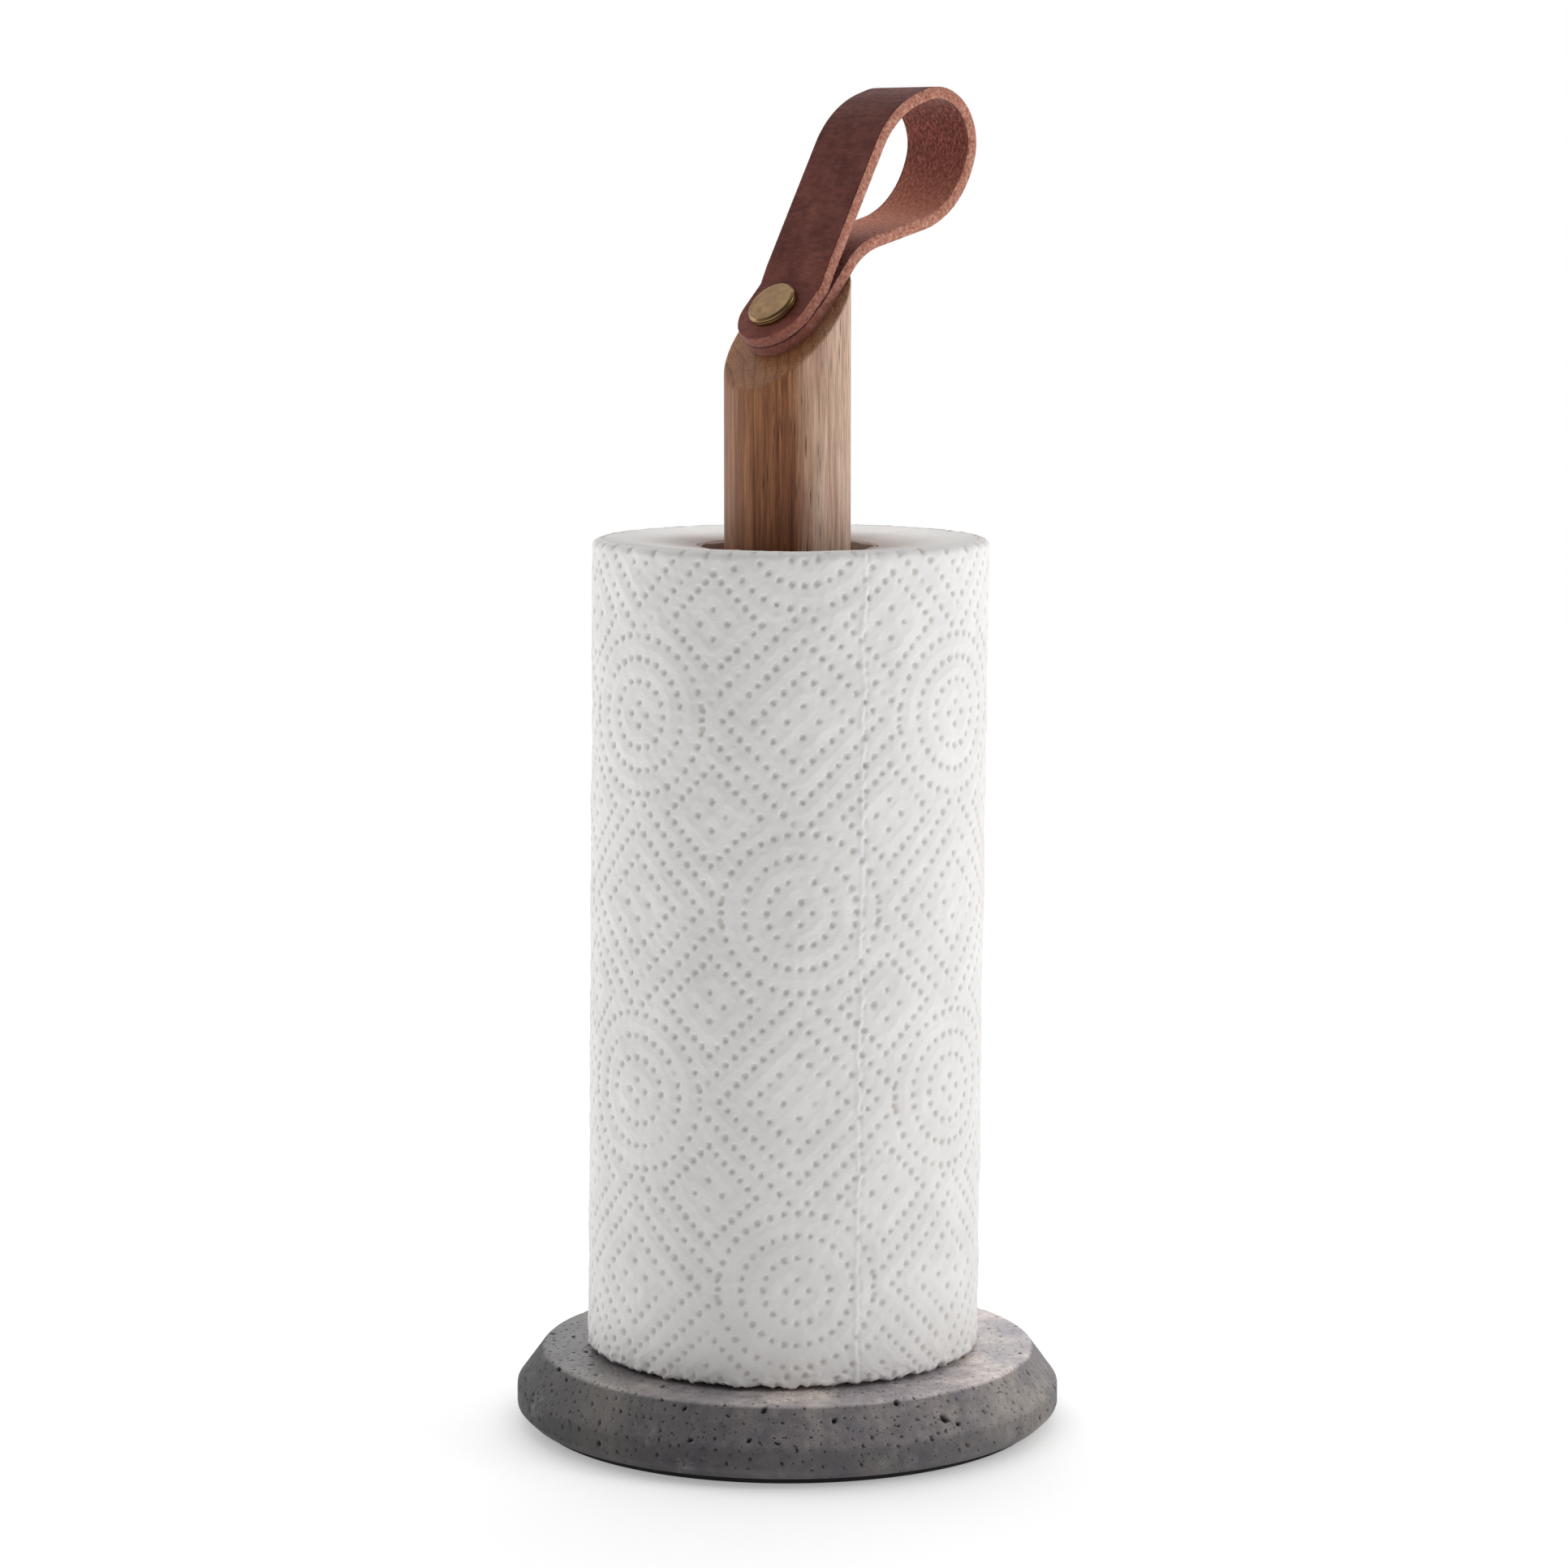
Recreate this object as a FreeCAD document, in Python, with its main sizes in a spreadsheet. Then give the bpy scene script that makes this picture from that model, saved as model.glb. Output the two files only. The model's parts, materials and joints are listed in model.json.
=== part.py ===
import FreeCAD, Part
import math
import os
import Sketcher

# Paper towel holder: a concrete foot, a wooden post with a slanted top, a folded leather
# strap screwed to the slant, and a roll of kitchen paper on its cardboard core.
# Frame: +Z up, origin at the bottom centre of the foot, +X towards the high side of the
# slant, so that the strap lies in the XZ plane. Millimetres.

SIZES = {
    # foot
    "pad_dia": 138.0,
    "pad_thick": 2.0,
    "base_dia": 150.0,
    "base_thick": 18.7,
    "base_underside_dia": 144.0,
    "base_rim_lift": 2.8,
    "base_bevel_width": 7.4,
    "base_bevel_height": 10.0,
    "base_edge_round": 1.6,
    "socket_depth": 3.0,
    "socket_gap": 0.3,
    # post
    "post_dia": 34.4,
    "post_cut_height": 301.9,
    "cut_angle": 45.0,
    "post_edge_ease": 0.6,
    # fixing of the post, from below
    "bolt_dia": 8.0,
    "bolt_reach": 25.0,
    "bolt_head_flats": 13.0,
    "bolt_head_height": 5.3,
    "bolt_hole_gap": 0.6,
    "washer_dia": 24.0,
    "washer_thick": 1.6,
    "washer_gap": 0.25,
    "counterbore_gap": 1.0,
    "counterbore_depth": 8.5,
    "insert_dia": 12.0,
    "insert_length": 20.0,
    "insert_inset": 0.5,
    "bore_relief": 1.0,
    "thread_gap": 0.05,
    # strap and its screw
    "strap_width": 24.0,
    "strap_thick": 3.3,
    "strap_fold_gap": 0.15,
    "strap_lead": 2.2,
    "leg_lift": 1.35,
    "leg_lift_lag": 1.0,
    "leg_lift_radius": 20.0,
    "loop_length": 58.2,
    "loop_height": 37.1,
    "heel_run": 1.65,
    "heel_length": 5.1,
    "heel_rise": 1.8,
    "heel_radius": 5.0,
    "stud_dia": 4.0,
    "stud_depth": 18.0,
    "stud_point": 5.0,
    "sleeve_dia": 6.0,
    "sleeve_gap": 0.08,
    "sleeve_lift": 0.5,
    "head_dia": 14.5,
    "head_thick": 1.3,
    "head_bevel": 0.6,
    "head_web": 0.4,
    "ring_thick": 1.2,
    "ring_bevel": 0.15,
    # roll
    "core_bore": 47.4,
    "core_wall": 1.2,
    "roll_dia": 107.6,
    "roll_height": 223.9,
    "roll_edge_round": 1.5,
    "roll_gap": 0.05,
}

# Places that follow from the sizes above, as sheet formulas.
DERIVED = {
    "base_top": "=pad_thick + base_thick",
    "socket_floor": "=base_top - socket_depth",
    "counterbore_top": "=pad_thick + counterbore_depth",
    "washer_under": "=counterbore_top - washer_thick",
    "head_under": "=washer_under - bolt_head_height",
    "bolt_top": "=washer_under + bolt_reach",
    "insert_foot": "=socket_floor + insert_inset",
    "insert_top": "=insert_foot + insert_length",
    "bore_top": "=max(insert_top; bolt_top) + bore_relief",
    "post_radius": "=post_dia / 2",
    "lower_leg": "=strap_thick / 2",
    "upper_leg": "=strap_thick * 1.5 + strap_fold_gap",
    "strap_top": "=strap_thick * 2 + strap_fold_gap",
    "ring_top": "=strap_top + ring_thick",
    "head_top": "=ring_top + head_thick",
    "stud_end": "=ring_top - 2 * head_web",
    "core_radius": "=core_bore / 2 + core_wall",
}

# The loop of the strap, as corners of its middle line: how far along the loop's length and
# above the middle of its height (both as shares), and the radius there as a share of height.
LOOP_CORNERS = [
    (0.576, -0.549, 0.72),
    (1.000, -0.253, 0.36),
    (0.902, 0.206, 0.36),
    (0.603, 0.451, 0.75),
]
LOWER_TURN_SHARE = 0.56
SHOULDER_SHARE = 0.32

HEX_CORNERS = 6
FULL_TURN = 360.0
MARGIN = 20.0

document = FreeCAD.newDocument("PaperTowelHolder")


def write_sheet():
    """Puts every size in a row of its own, named by its alias."""
    page = document.addObject("Spreadsheet::Sheet", "Sizes")
    rows = list(SIZES.items()) + list(DERIVED.items())
    for row, (name, value) in enumerate(rows, start=1):
        page.set(f"A{row}", name)
        page.set(f"B{row}", str(value))
        page.setAlias(f"B{row}", name)
    document.recompute()
    return page


sheet = write_sheet()


def size(name):
    return float(getattr(sheet, name))


def named(text):
    """Turns a formula over aliases into one that objects outside the sheet can read."""
    words = sorted(list(SIZES) + list(DERIVED), key=len, reverse=True)
    out, place = "", 0
    while place < len(text):
        for word in words:
            if text.startswith(word, place):
                out += "Sizes." + word
                place += len(word)
                break
        else:
            out += text[place]
            place += 1
    return out


def bind(thing, field, formula):
    thing.setExpression(field, named(formula))


def new_body(label):
    body = document.addObject("PartDesign::Body", label)
    body.Label = label
    return body


def origin_plane(body, role):
    return next(f for f in body.Origin.OriginFeatures if f.Role == role)


def new_sketch(body, name, role="XZ_Plane", lift=None, slanted=False):
    """A sketch on one of the body's planes, raised, or turned to lie along the slant."""
    sketch = body.newObject("Sketcher::SketchObject", name)
    sketch.AttachmentSupport = (origin_plane(body, role), [""])
    sketch.MapMode = "FlatFace"
    if slanted and role == "XZ_Plane":
        # local X runs up the slant, local Y stands off it
        turned = FreeCAD.Rotation(FreeCAD.Vector(0, 0, 1), size("cut_angle"))
        sketch.AttachmentOffset = FreeCAD.Placement(FreeCAD.Vector(), turned)
        bind(sketch, "AttachmentOffset.Rotation.Angle", "cut_angle * 1 deg")
        bind(sketch, "AttachmentOffset.Base.y", "post_cut_height")
    elif slanted:
        # the slanted face itself: local X runs up the slant, local Y across it
        turned = FreeCAD.Rotation(FreeCAD.Vector(0, -1, 0), size("cut_angle"))
        sketch.AttachmentOffset = FreeCAD.Placement(FreeCAD.Vector(), turned)
        bind(sketch, "AttachmentOffset.Rotation.Angle", "cut_angle * 1 deg")
        bind(sketch, "AttachmentOffset.Base.z", "post_cut_height")
    elif lift:
        bind(sketch, "AttachmentOffset.Base.z", lift)
    return sketch


def constrain(sketch, kind, geometry, point, formula):
    """Holds a point at a signed distance from the sketch's origin, given as a formula."""
    value = float(sketch.evalExpression(named(formula)))
    if abs(value) < 1e-9:
        axis = -2 if kind == "DistanceX" else -1
        sketch.addConstraint(Sketcher.Constraint("PointOnObject", geometry, point, axis))
        return
    number = sketch.addConstraint(Sketcher.Constraint(kind, -1, 1, geometry, point, value))
    sketch.setExpression(f"Constraints[{number}]", named(formula))


def draw_outline(sketch, corners):
    """A closed outline of straight lines whose corners are pairs of formulas."""
    places = [
        FreeCAD.Vector(*(float(sketch.evalExpression(named(text))) for text in pair), 0)
        for pair in corners
    ]
    count = len(corners)
    for number in range(count):
        line = Part.LineSegment(places[number], places[(number + 1) % count])
        sketch.addGeometry(line, False)
    for number in range(count):
        following = (number + 1) % count
        sketch.addConstraint(Sketcher.Constraint("Coincident", number, 2, following, 1))
    for number, (along, up) in enumerate(corners):
        constrain(sketch, "DistanceX", number, 1, along)
        constrain(sketch, "DistanceY", number, 1, up)


def draw_circle(sketch, diameter):
    """A circle about the sketch's origin, with its diameter as a formula."""
    value = float(sketch.evalExpression(named(diameter)))
    circle = Part.Circle(FreeCAD.Vector(), FreeCAD.Vector(0, 0, 1), value / 2)
    number = sketch.addGeometry(circle, False)
    sketch.addConstraint(Sketcher.Constraint("Coincident", number, 3, -1, 1))
    held = sketch.addConstraint(Sketcher.Constraint("Diameter", number, value))
    sketch.setExpression(f"Constraints[{held}]", named(diameter))


def turn(body, name, corners, slanted=False, cut=False):
    """Turns an outline about its upright axis, or about the slant's, to add or to cut."""
    sketch = new_sketch(body, name + "_outline", slanted=slanted)
    draw_outline(sketch, corners)
    kind = "PartDesign::Groove" if cut else "PartDesign::Revolution"
    before = body.Shape.Volume if cut else 0.0
    feature = body.newObject(kind, name)
    feature.Profile = sketch
    feature.ReferenceAxis = (sketch, ["V_Axis"])
    feature.Angle = FULL_TURN
    sketch.Visibility = False
    document.recompute()
    if cut and not body.Shape.Volume < before:
        raise RuntimeError(f"{name} cuts nothing")
    return feature


def extrude(body, name, sketch, length, cut=False, both_ways=False):
    """Pads a sketch, or cuts with it, over a length given as a formula."""
    before = body.Shape.Volume if cut else 0.0
    feature = body.newObject("PartDesign::Pocket" if cut else "PartDesign::Pad", name)
    feature.Profile = sketch
    bind(feature, "Length", length)
    if both_ways:
        feature.SideType = "Symmetric"
    sketch.Visibility = False
    document.recompute()
    if cut and not body.Shape.Volume < before:
        raise RuntimeError(f"{name} cuts nothing")
    return feature


def ease(body, name, kind, picks, formula):
    """Rounds or bevels the edges of the body's tip that picks() chooses."""
    tip = body.Tip
    edges = [f"Edge{n}" for n, edge in enumerate(tip.Shape.Edges, 1) if picks(edge)]
    feature = body.newObject("PartDesign::" + kind, name)
    feature.Base = (tip, edges)
    bind(feature, "Radius" if kind == "Fillet" else "Size", formula)
    document.recompute()
    return feature


def ring_edge(radius, low=-math.inf, high=math.inf):
    """Picks full circles of a radius about the upright axis, between two heights."""

    def picks(edge):
        curve = edge.Curve
        if not isinstance(curve, Part.Circle) or abs(curve.Radius - radius) > 1e-3:
            return False
        return low < curve.Center.z < high and math.hypot(curve.Center.x, curve.Center.y) < 1e-3

    return picks


# ---- foot -----------------------------------------------------------------------------

def make_foot_pad():
    """The thin pad under the foot: it hides and seals the bolt."""
    body = new_body("foot_pad")
    sketch = new_sketch(body, "pad_outline", "XY_Plane")
    draw_circle(sketch, "pad_dia")
    extrude(body, "pad_sheet", sketch, "pad_thick")
    return body


def make_concrete_base():
    """The cast disc: a short rim between a small taper below and a wide bevel above."""
    body = new_body("concrete_base")
    turn(body, "cast_disc", [
        ("0", "pad_thick"),
        ("base_underside_dia / 2", "pad_thick"),
        ("base_dia / 2", "pad_thick + base_rim_lift"),
        ("base_dia / 2", "base_top - base_bevel_height"),
        ("base_dia / 2 - base_bevel_width", "base_top"),
        ("0", "base_top"),
    ])
    rim = ring_edge(size("base_dia") / 2)
    shoulder = ring_edge(size("base_dia") / 2 - size("base_bevel_width"))
    ease(body, "rim_rounds", "Fillet",
         lambda edge: rim(edge) or shoulder(edge), "base_edge_round")
    turn(body, "fixing_bore", [
        ("0", "pad_thick"),
        ("washer_dia / 2 + counterbore_gap", "pad_thick"),
        ("washer_dia / 2 + counterbore_gap", "counterbore_top"),
        ("bolt_dia / 2 + bolt_hole_gap", "counterbore_top"),
        ("bolt_dia / 2 + bolt_hole_gap", "socket_floor"),
        ("post_radius + socket_gap", "socket_floor"),
        ("post_radius + socket_gap", "base_top"),
        ("0", "base_top"),
    ], cut=True)
    return body


# ---- post and its fixing --------------------------------------------------------------

def make_post():
    """The dowel: a slanted cut above, a bore for the insert below, a hole for the stud."""
    body = new_body("post")
    sketch = new_sketch(body, "post_section", "XY_Plane", lift="socket_floor")
    draw_circle(sketch, "post_dia")
    extrude(body, "dowel", sketch,
            "post_cut_height - socket_floor + post_radius * tan(cut_angle * 1 deg)")
    waste = new_sketch(body, "slant_waste", slanted=True)
    across = f"(post_dia / cos(cut_angle * 1 deg) + {MARGIN})"
    draw_outline(waste, [
        (f"-{across}", "0"),
        (across, "0"),
        (across, across),
        (f"-{across}", across),
    ])
    extrude(body, "slanted_cut", waste, f"post_dia + {MARGIN}", cut=True, both_ways=True)
    foot = ring_edge(size("post_radius"), high=size("base_top"))
    ease(body, "eased_edges", "Chamfer",
         lambda edge: foot(edge) or isinstance(edge.Curve, Part.Ellipse), "post_edge_ease")
    turn(body, "insert_bore", [
        ("0", "socket_floor"),
        ("insert_dia / 2 + thread_gap", "socket_floor"),
        ("insert_dia / 2 + thread_gap", "bore_top"),
        ("0", "bore_top + insert_dia / 4"),
    ], cut=True)
    turn(body, "stud_hole", [
        ("0", "-stud_depth - thread_gap"),
        ("stud_dia / 2 + thread_gap", "-stud_depth + stud_point"),
        ("stud_dia / 2 + thread_gap", "stud_dia"),
        ("0", "stud_dia"),
    ], slanted=True, cut=True)
    return body


def make_post_insert():
    """Threaded insert in the foot of the post."""
    body = new_body("post_insert")
    turn(body, "insert_tube", [
        ("bolt_dia / 2 + thread_gap", "insert_foot"),
        ("insert_dia / 2 - thread_gap * 4", "insert_foot"),
        ("insert_dia / 2", "insert_foot + 1"),
        ("insert_dia / 2", "insert_top"),
        ("bolt_dia / 2 + thread_gap", "insert_top"),
    ])
    return body


def cylinder(name, diameter, height, lift):
    round_bar = document.addObject("Part::Cylinder", name)
    bind(round_bar, "Radius", f"({diameter}) / 2")
    bind(round_bar, "Height", height)
    bind(round_bar, "Placement.Base.z", lift)
    return round_bar


def make_post_bolt():
    """Hexagon bolt, head down."""
    head = document.addObject("Part::Prism", "bolt_head")
    head.Polygon = HEX_CORNERS
    bind(head, "Circumradius", "bolt_head_flats / 2 / cos(30 deg)")
    bind(head, "Height", "bolt_head_height")
    bind(head, "Placement.Base.z", "head_under")
    shank = cylinder("bolt_shank", "bolt_dia", "bolt_head_height + bolt_reach", "head_under")
    bolt = document.addObject("Part::Fuse", "post_bolt")
    bolt.Base = head
    bolt.Tool = shank
    bolt.Label = "post_bolt"
    return bolt


def make_post_washer():
    """Wide washer between the bolt's head and the concrete."""
    disc = cylinder("washer_disc", "washer_dia", "washer_thick", "washer_under")
    hole = cylinder("washer_hole", "bolt_dia + 2 * washer_gap", "washer_thick", "washer_under")
    washer = document.addObject("Part::Cut", "post_washer")
    washer.Base = disc
    washer.Tool = hole
    washer.Label = "post_washer"
    return washer


# ---- strap and its screw --------------------------------------------------------------

def strap_middle_line():
    """Corners and radii of the strap's middle line, end to end, in the slant's own axes."""
    edge_of_post = size("post_radius") / math.cos(math.radians(size("cut_angle")))
    start = edge_of_post + size("strap_lead")
    middle = (size("lower_leg") + size("upper_leg")) / 2
    length, height = size("loop_length"), size("loop_height")
    end = -size("strap_width") / 2
    heel = size("head_dia") / 2 + size("heel_run")
    # the lower leg lies flat under the screw, then lifts a little on its way off the post
    corners = [
        (end, size("lower_leg")),
        (heel + size("leg_lift_lag"), size("lower_leg")),
        (start, size("lower_leg") + size("leg_lift")),
    ]
    radii = [None, size("leg_lift_radius"), LOWER_TURN_SHARE * height]
    for along, up, share in LOOP_CORNERS:
        corners.append((start + along * length, middle + up * height))
        radii.append(share * height)
    # the upper leg rises sharply beside the screw's head, then more gently
    corners += [
        (heel + size("heel_length"), size("upper_leg") + size("heel_rise")),
        (heel, size("upper_leg")),
        (end, size("upper_leg")),
    ]
    radii += [SHOULDER_SHARE * height, size("heel_radius"), None]
    return [FreeCAD.Vector(x, y, 0) for x, y in corners], radii


def rounded_path(corners, radii):
    """Straight runs joined by tangent arcs: (start, end) or (start, end, centre, turn sign)."""
    pieces, here = [], corners[0]
    for before, corner, after, radius in zip(corners, corners[1:], corners[2:], radii[1:]):
        arrive = (corner - before).normalize()
        leave = (after - corner).normalize()
        turn_angle = arrive.getAngle(leave)
        reach = radius * math.tan(turn_angle / 2)
        first, last = corner - arrive * reach, corner + leave * reach
        sign = 1 if arrive.cross(leave).z > 0 else -1
        centre = first + FreeCAD.Vector(-arrive.y, arrive.x, 0) * radius * sign
        pieces.append((here, first))
        pieces.append((first, last, centre, sign))
        here = last
    pieces.append((here, corners[-1]))
    return pieces


def beside(pieces, offset):
    """The same path moved sideways, to its left where offset is positive."""
    moved = []
    for piece in pieces:
        if len(piece) == 2:
            along = (piece[1] - piece[0]).normalize()
            shift = FreeCAD.Vector(-along.y, along.x, 0) * offset
            moved.append(Part.LineSegment(piece[0] + shift, piece[1] + shift))
            continue
        first, last, centre, sign = piece
        radius = (first - centre).Length - sign * offset
        first = centre + (first - centre).normalize() * radius
        last = centre + (last - centre).normalize() * radius
        halfway = centre + ((first + last) * 0.5 - centre).normalize() * radius
        moved.append(Part.Arc(first, halfway, last))
    return moved


def make_strap():
    """One strip of leather, folded to a teardrop, both ends under the screw."""
    body = new_body("strap")
    corners, radii = strap_middle_line()
    path = rounded_path(corners, radii)
    half = size("strap_thick") / 2
    side = new_sketch(body, "strap_side", slanted=True)
    inner, outer = beside(path, half), beside(path, -half)
    ends = [
        Part.LineSegment(outer[0].StartPoint, inner[0].StartPoint),
        Part.LineSegment(inner[-1].EndPoint, outer[-1].EndPoint),
    ]
    for edge in inner + outer + ends:
        side.addGeometry(edge, False)
    extrude(body, "strap_strip", side, "strap_width", both_ways=True)

    corner_waste = new_sketch(body, "strap_end_waste", "XY_Plane", slanted=True)
    radius = size("strap_width") / 2
    far = radius + MARGIN
    border = [(0, radius), (0, far), (-far, far), (-far, -far), (0, -far), (0, -radius)]
    border = [FreeCAD.Vector(x, y, 0) for x, y in border]
    for first, last in zip(border, border[1:]):
        corner_waste.addGeometry(Part.LineSegment(first, last), False)
    tip = FreeCAD.Vector(-radius, 0, 0)
    corner_waste.addGeometry(Part.Arc(border[-1], tip, border[0]), False)
    extrude(body, "rounded_ends", corner_waste, "4 * strap_top", cut=True, both_ways=True)

    hole = new_sketch(body, "strap_hole", "XY_Plane", slanted=True)
    draw_circle(hole, "sleeve_dia + 2 * sleeve_gap")
    extrude(body, "punched_hole", hole, "4 * strap_top", cut=True, both_ways=True)
    return body


def make_strap_washer():
    """Brass ring between the screw's head and the leather."""
    body = new_body("strap_washer")
    turn(body, "ring", [
        ("sleeve_dia / 2 + sleeve_gap", "strap_top"),
        ("head_dia / 2 - ring_bevel", "strap_top"),
        ("head_dia / 2", "strap_top + ring_bevel"),
        ("head_dia / 2", "ring_top - ring_bevel"),
        ("head_dia / 2 - ring_bevel", "ring_top"),
        ("sleeve_dia / 2 + sleeve_gap", "ring_top"),
    ], slanted=True)
    return body


def make_strap_cap():
    """Brass cap nut: a bevelled disc on a threaded sleeve that passes through the strap."""
    body = new_body("strap_cap")
    turn(body, "cap_nut", [
        ("0", "head_top"),
        ("head_dia / 2 - head_bevel", "head_top"),
        ("head_dia / 2", "head_top - head_bevel"),
        ("head_dia / 2", "ring_top"),
        ("sleeve_dia / 2", "ring_top"),
        ("sleeve_dia / 2", "sleeve_lift"),
        ("stud_dia / 2 + thread_gap", "sleeve_lift"),
        ("stud_dia / 2 + thread_gap", "ring_top - head_web"),
        ("0", "ring_top - head_web"),
    ], slanted=True)
    return body


def make_strap_stud():
    """Double-ended screw: pointed in the wood, blunt in the cap's sleeve."""
    body = new_body("strap_stud")
    turn(body, "stud_rod", [
        ("0", "-stud_depth"),
        ("stud_dia / 2", "-stud_depth + stud_point"),
        ("stud_dia / 2", "stud_end"),
        ("0", "stud_end"),
    ], slanted=True)
    return body


# ---- roll -----------------------------------------------------------------------------

def make_roll_core():
    """Cardboard tube."""
    body = new_body("roll_core")
    turn(body, "tube", [
        ("core_bore / 2", "base_top"),
        ("core_radius", "base_top"),
        ("core_radius", "base_top + roll_height"),
        ("core_bore / 2", "base_top + roll_height"),
    ])
    return body


def make_paper_roll():
    """The wound paper, with slightly rounded outer edges."""
    body = new_body("paper_roll")
    turn(body, "wound_paper", [
        ("core_radius + roll_gap", "base_top"),
        ("roll_dia / 2", "base_top"),
        ("roll_dia / 2", "base_top + roll_height"),
        ("core_radius + roll_gap", "base_top + roll_height"),
    ])
    ease(body, "soft_edges", "Fillet", ring_edge(size("roll_dia") / 2), "roll_edge_round")
    return body


nodes = [
    make_foot_pad(),
    make_concrete_base(),
    make_post(),
    make_post_insert(),
    make_post_bolt(),
    make_post_washer(),
    make_strap(),
    make_strap_washer(),
    make_strap_cap(),
    make_strap_stud(),
    make_roll_core(),
    make_paper_roll(),
]
document.recompute()

for thing in document.Objects:
    if {"Invalid", "Error"} & set(thing.State):
        raise RuntimeError(f"{thing.Label} failed: {thing.State}")
for node in nodes:
    if node.Shape.isNull() or not node.Shape.isValid():
        raise RuntimeError(f"{node.Label} has no valid shape")

os.makedirs("parts", exist_ok=True)
for node in nodes:
    node.Shape.exportStep(f"parts/{node.Label}.step")
    box = node.Shape.BoundBox
    print(f"{node.Label:15s} {node.Shape.Volume / 1000:9.3f} cm3  "
          f"z {box.ZMin:7.2f} .. {box.ZMax:7.2f}  solids {len(node.Shape.Solids)}")
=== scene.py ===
import json
import math
import random

import bmesh
import bpy
import numpy as np
from mathutils import Matrix, Vector, noise


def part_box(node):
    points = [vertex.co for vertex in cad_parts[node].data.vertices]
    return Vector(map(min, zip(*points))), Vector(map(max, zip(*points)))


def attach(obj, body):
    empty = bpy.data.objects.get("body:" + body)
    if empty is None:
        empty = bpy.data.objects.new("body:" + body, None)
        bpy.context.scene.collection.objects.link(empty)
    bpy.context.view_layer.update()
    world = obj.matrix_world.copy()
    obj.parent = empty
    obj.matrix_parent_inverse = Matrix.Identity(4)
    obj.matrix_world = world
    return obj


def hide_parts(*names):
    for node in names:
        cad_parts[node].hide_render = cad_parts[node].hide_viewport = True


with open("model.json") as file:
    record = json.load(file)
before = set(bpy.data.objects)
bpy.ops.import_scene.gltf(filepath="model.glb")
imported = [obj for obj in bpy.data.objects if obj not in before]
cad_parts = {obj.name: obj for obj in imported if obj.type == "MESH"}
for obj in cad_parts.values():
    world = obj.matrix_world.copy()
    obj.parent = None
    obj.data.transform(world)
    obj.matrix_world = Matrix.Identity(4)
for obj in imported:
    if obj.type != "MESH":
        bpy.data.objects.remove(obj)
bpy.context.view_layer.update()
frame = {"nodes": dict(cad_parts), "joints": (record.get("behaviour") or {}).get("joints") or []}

# Paper towel holder: a cast concrete foot, a wooden post with a slanted top, a folded leather
# strap under a brass screw, and a roll of embossed kitchen paper on its cardboard core.
# Every size below is in millimetres and in the frame of the CAD model.
MM = 0.001
MATH = "ShaderNodeMath"
NOISE = "ShaderNodeTexNoise"
MIX = "ShaderNodeMix"
RAMP = "ShaderNodeValToRGB"
SPREAD = "ShaderNodeMapRange"


def span(node):
    """Lowest and highest corner of a CAD node in millimetres."""
    low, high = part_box(node)
    return low / MM, high / MM


base_low, base_high = span("concrete_base")
post_low, post_high = span("post")
roll_low, roll_high = span("paper_roll")
core_low, core_high = span("roll_core")
pad_low, pad_high = span("foot_pad")
BASE_RADIUS = (base_high.x - base_low.x) / 2
POST_RADIUS = (post_high.y - post_low.y) / 2
ROLL_RADIUS = (roll_high.x - roll_low.x) / 2
CORE_RADIUS = (core_high.x - core_low.x) / 2
PAD_RADIUS = (pad_high.x - pad_low.x) / 2
base_top = base_high.z

# the slant of the post: s runs uphill along it, d stands off it, and the strap's stud is at its middle
swivel = next(joint for joint in frame["joints"] if joint["name"] == "strap_swivel")
SLANT_HEIGHT = swivel["pos_m"][2] / MM
SLANT = math.sqrt(0.5)
stud_low, stud_high = span("strap_stud")
STUD_DEPTH = (SLANT_HEIGHT - stud_low.z) / SLANT + 0.2

# the viewer stands here, on the low side of the slant and to one side of it
VIEW_ANGLE = math.radians(225)
VIEW_RIGHT = np.array([-math.sin(VIEW_ANGLE), math.cos(VIEW_ANGLE)])


# ---------------------------------------------------------------- helpers


def linear(code):
    """An sRGB hex colour as the linear colour that a shader takes."""
    values = [int(code[i : i + 2], 16) / 255 for i in (0, 2, 4)]
    return [v / 12.92 if v <= 0.04045 else ((v + 0.055) / 1.055) ** 2.4 for v in values] + [1.0]


def wire(tree, node, inputs):
    """Sets a node's inputs: a value, a hex colour, a socket, a node whose result it takes, or a list."""
    for key, value in inputs.items():
        if isinstance(key, str):
            socket = next(s for s in node.inputs if s.name == key and not s.is_unavailable)
        else:
            socket = node.inputs[key]
        for source in value if isinstance(value, list) else [value]:
            if isinstance(source, bpy.types.Node):
                source = next(s for s in source.outputs if not s.is_unavailable)
            if isinstance(source, bpy.types.NodeSocket):
                tree.links.new(source, socket)
            elif isinstance(source, str) and socket.type == "RGBA":
                socket.default_value = linear(source)
            else:
                socket.default_value = source


def add(tree, kind, inputs=None, stops=None, **settings):
    """Adds a node with its settings, its ramp's stops and its inputs."""
    node = tree.nodes.new(kind)
    for name, value in settings.items():
        setattr(node, name, value)
    if stops:
        elements = node.color_ramp.elements
        while len(elements) < len(stops):
            elements.new(1.0)
        for element, (place, colour) in zip(elements, stops):
            element.position = place
            element.color = linear(colour)
    wire(tree, node, inputs or {})
    return node


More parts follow.
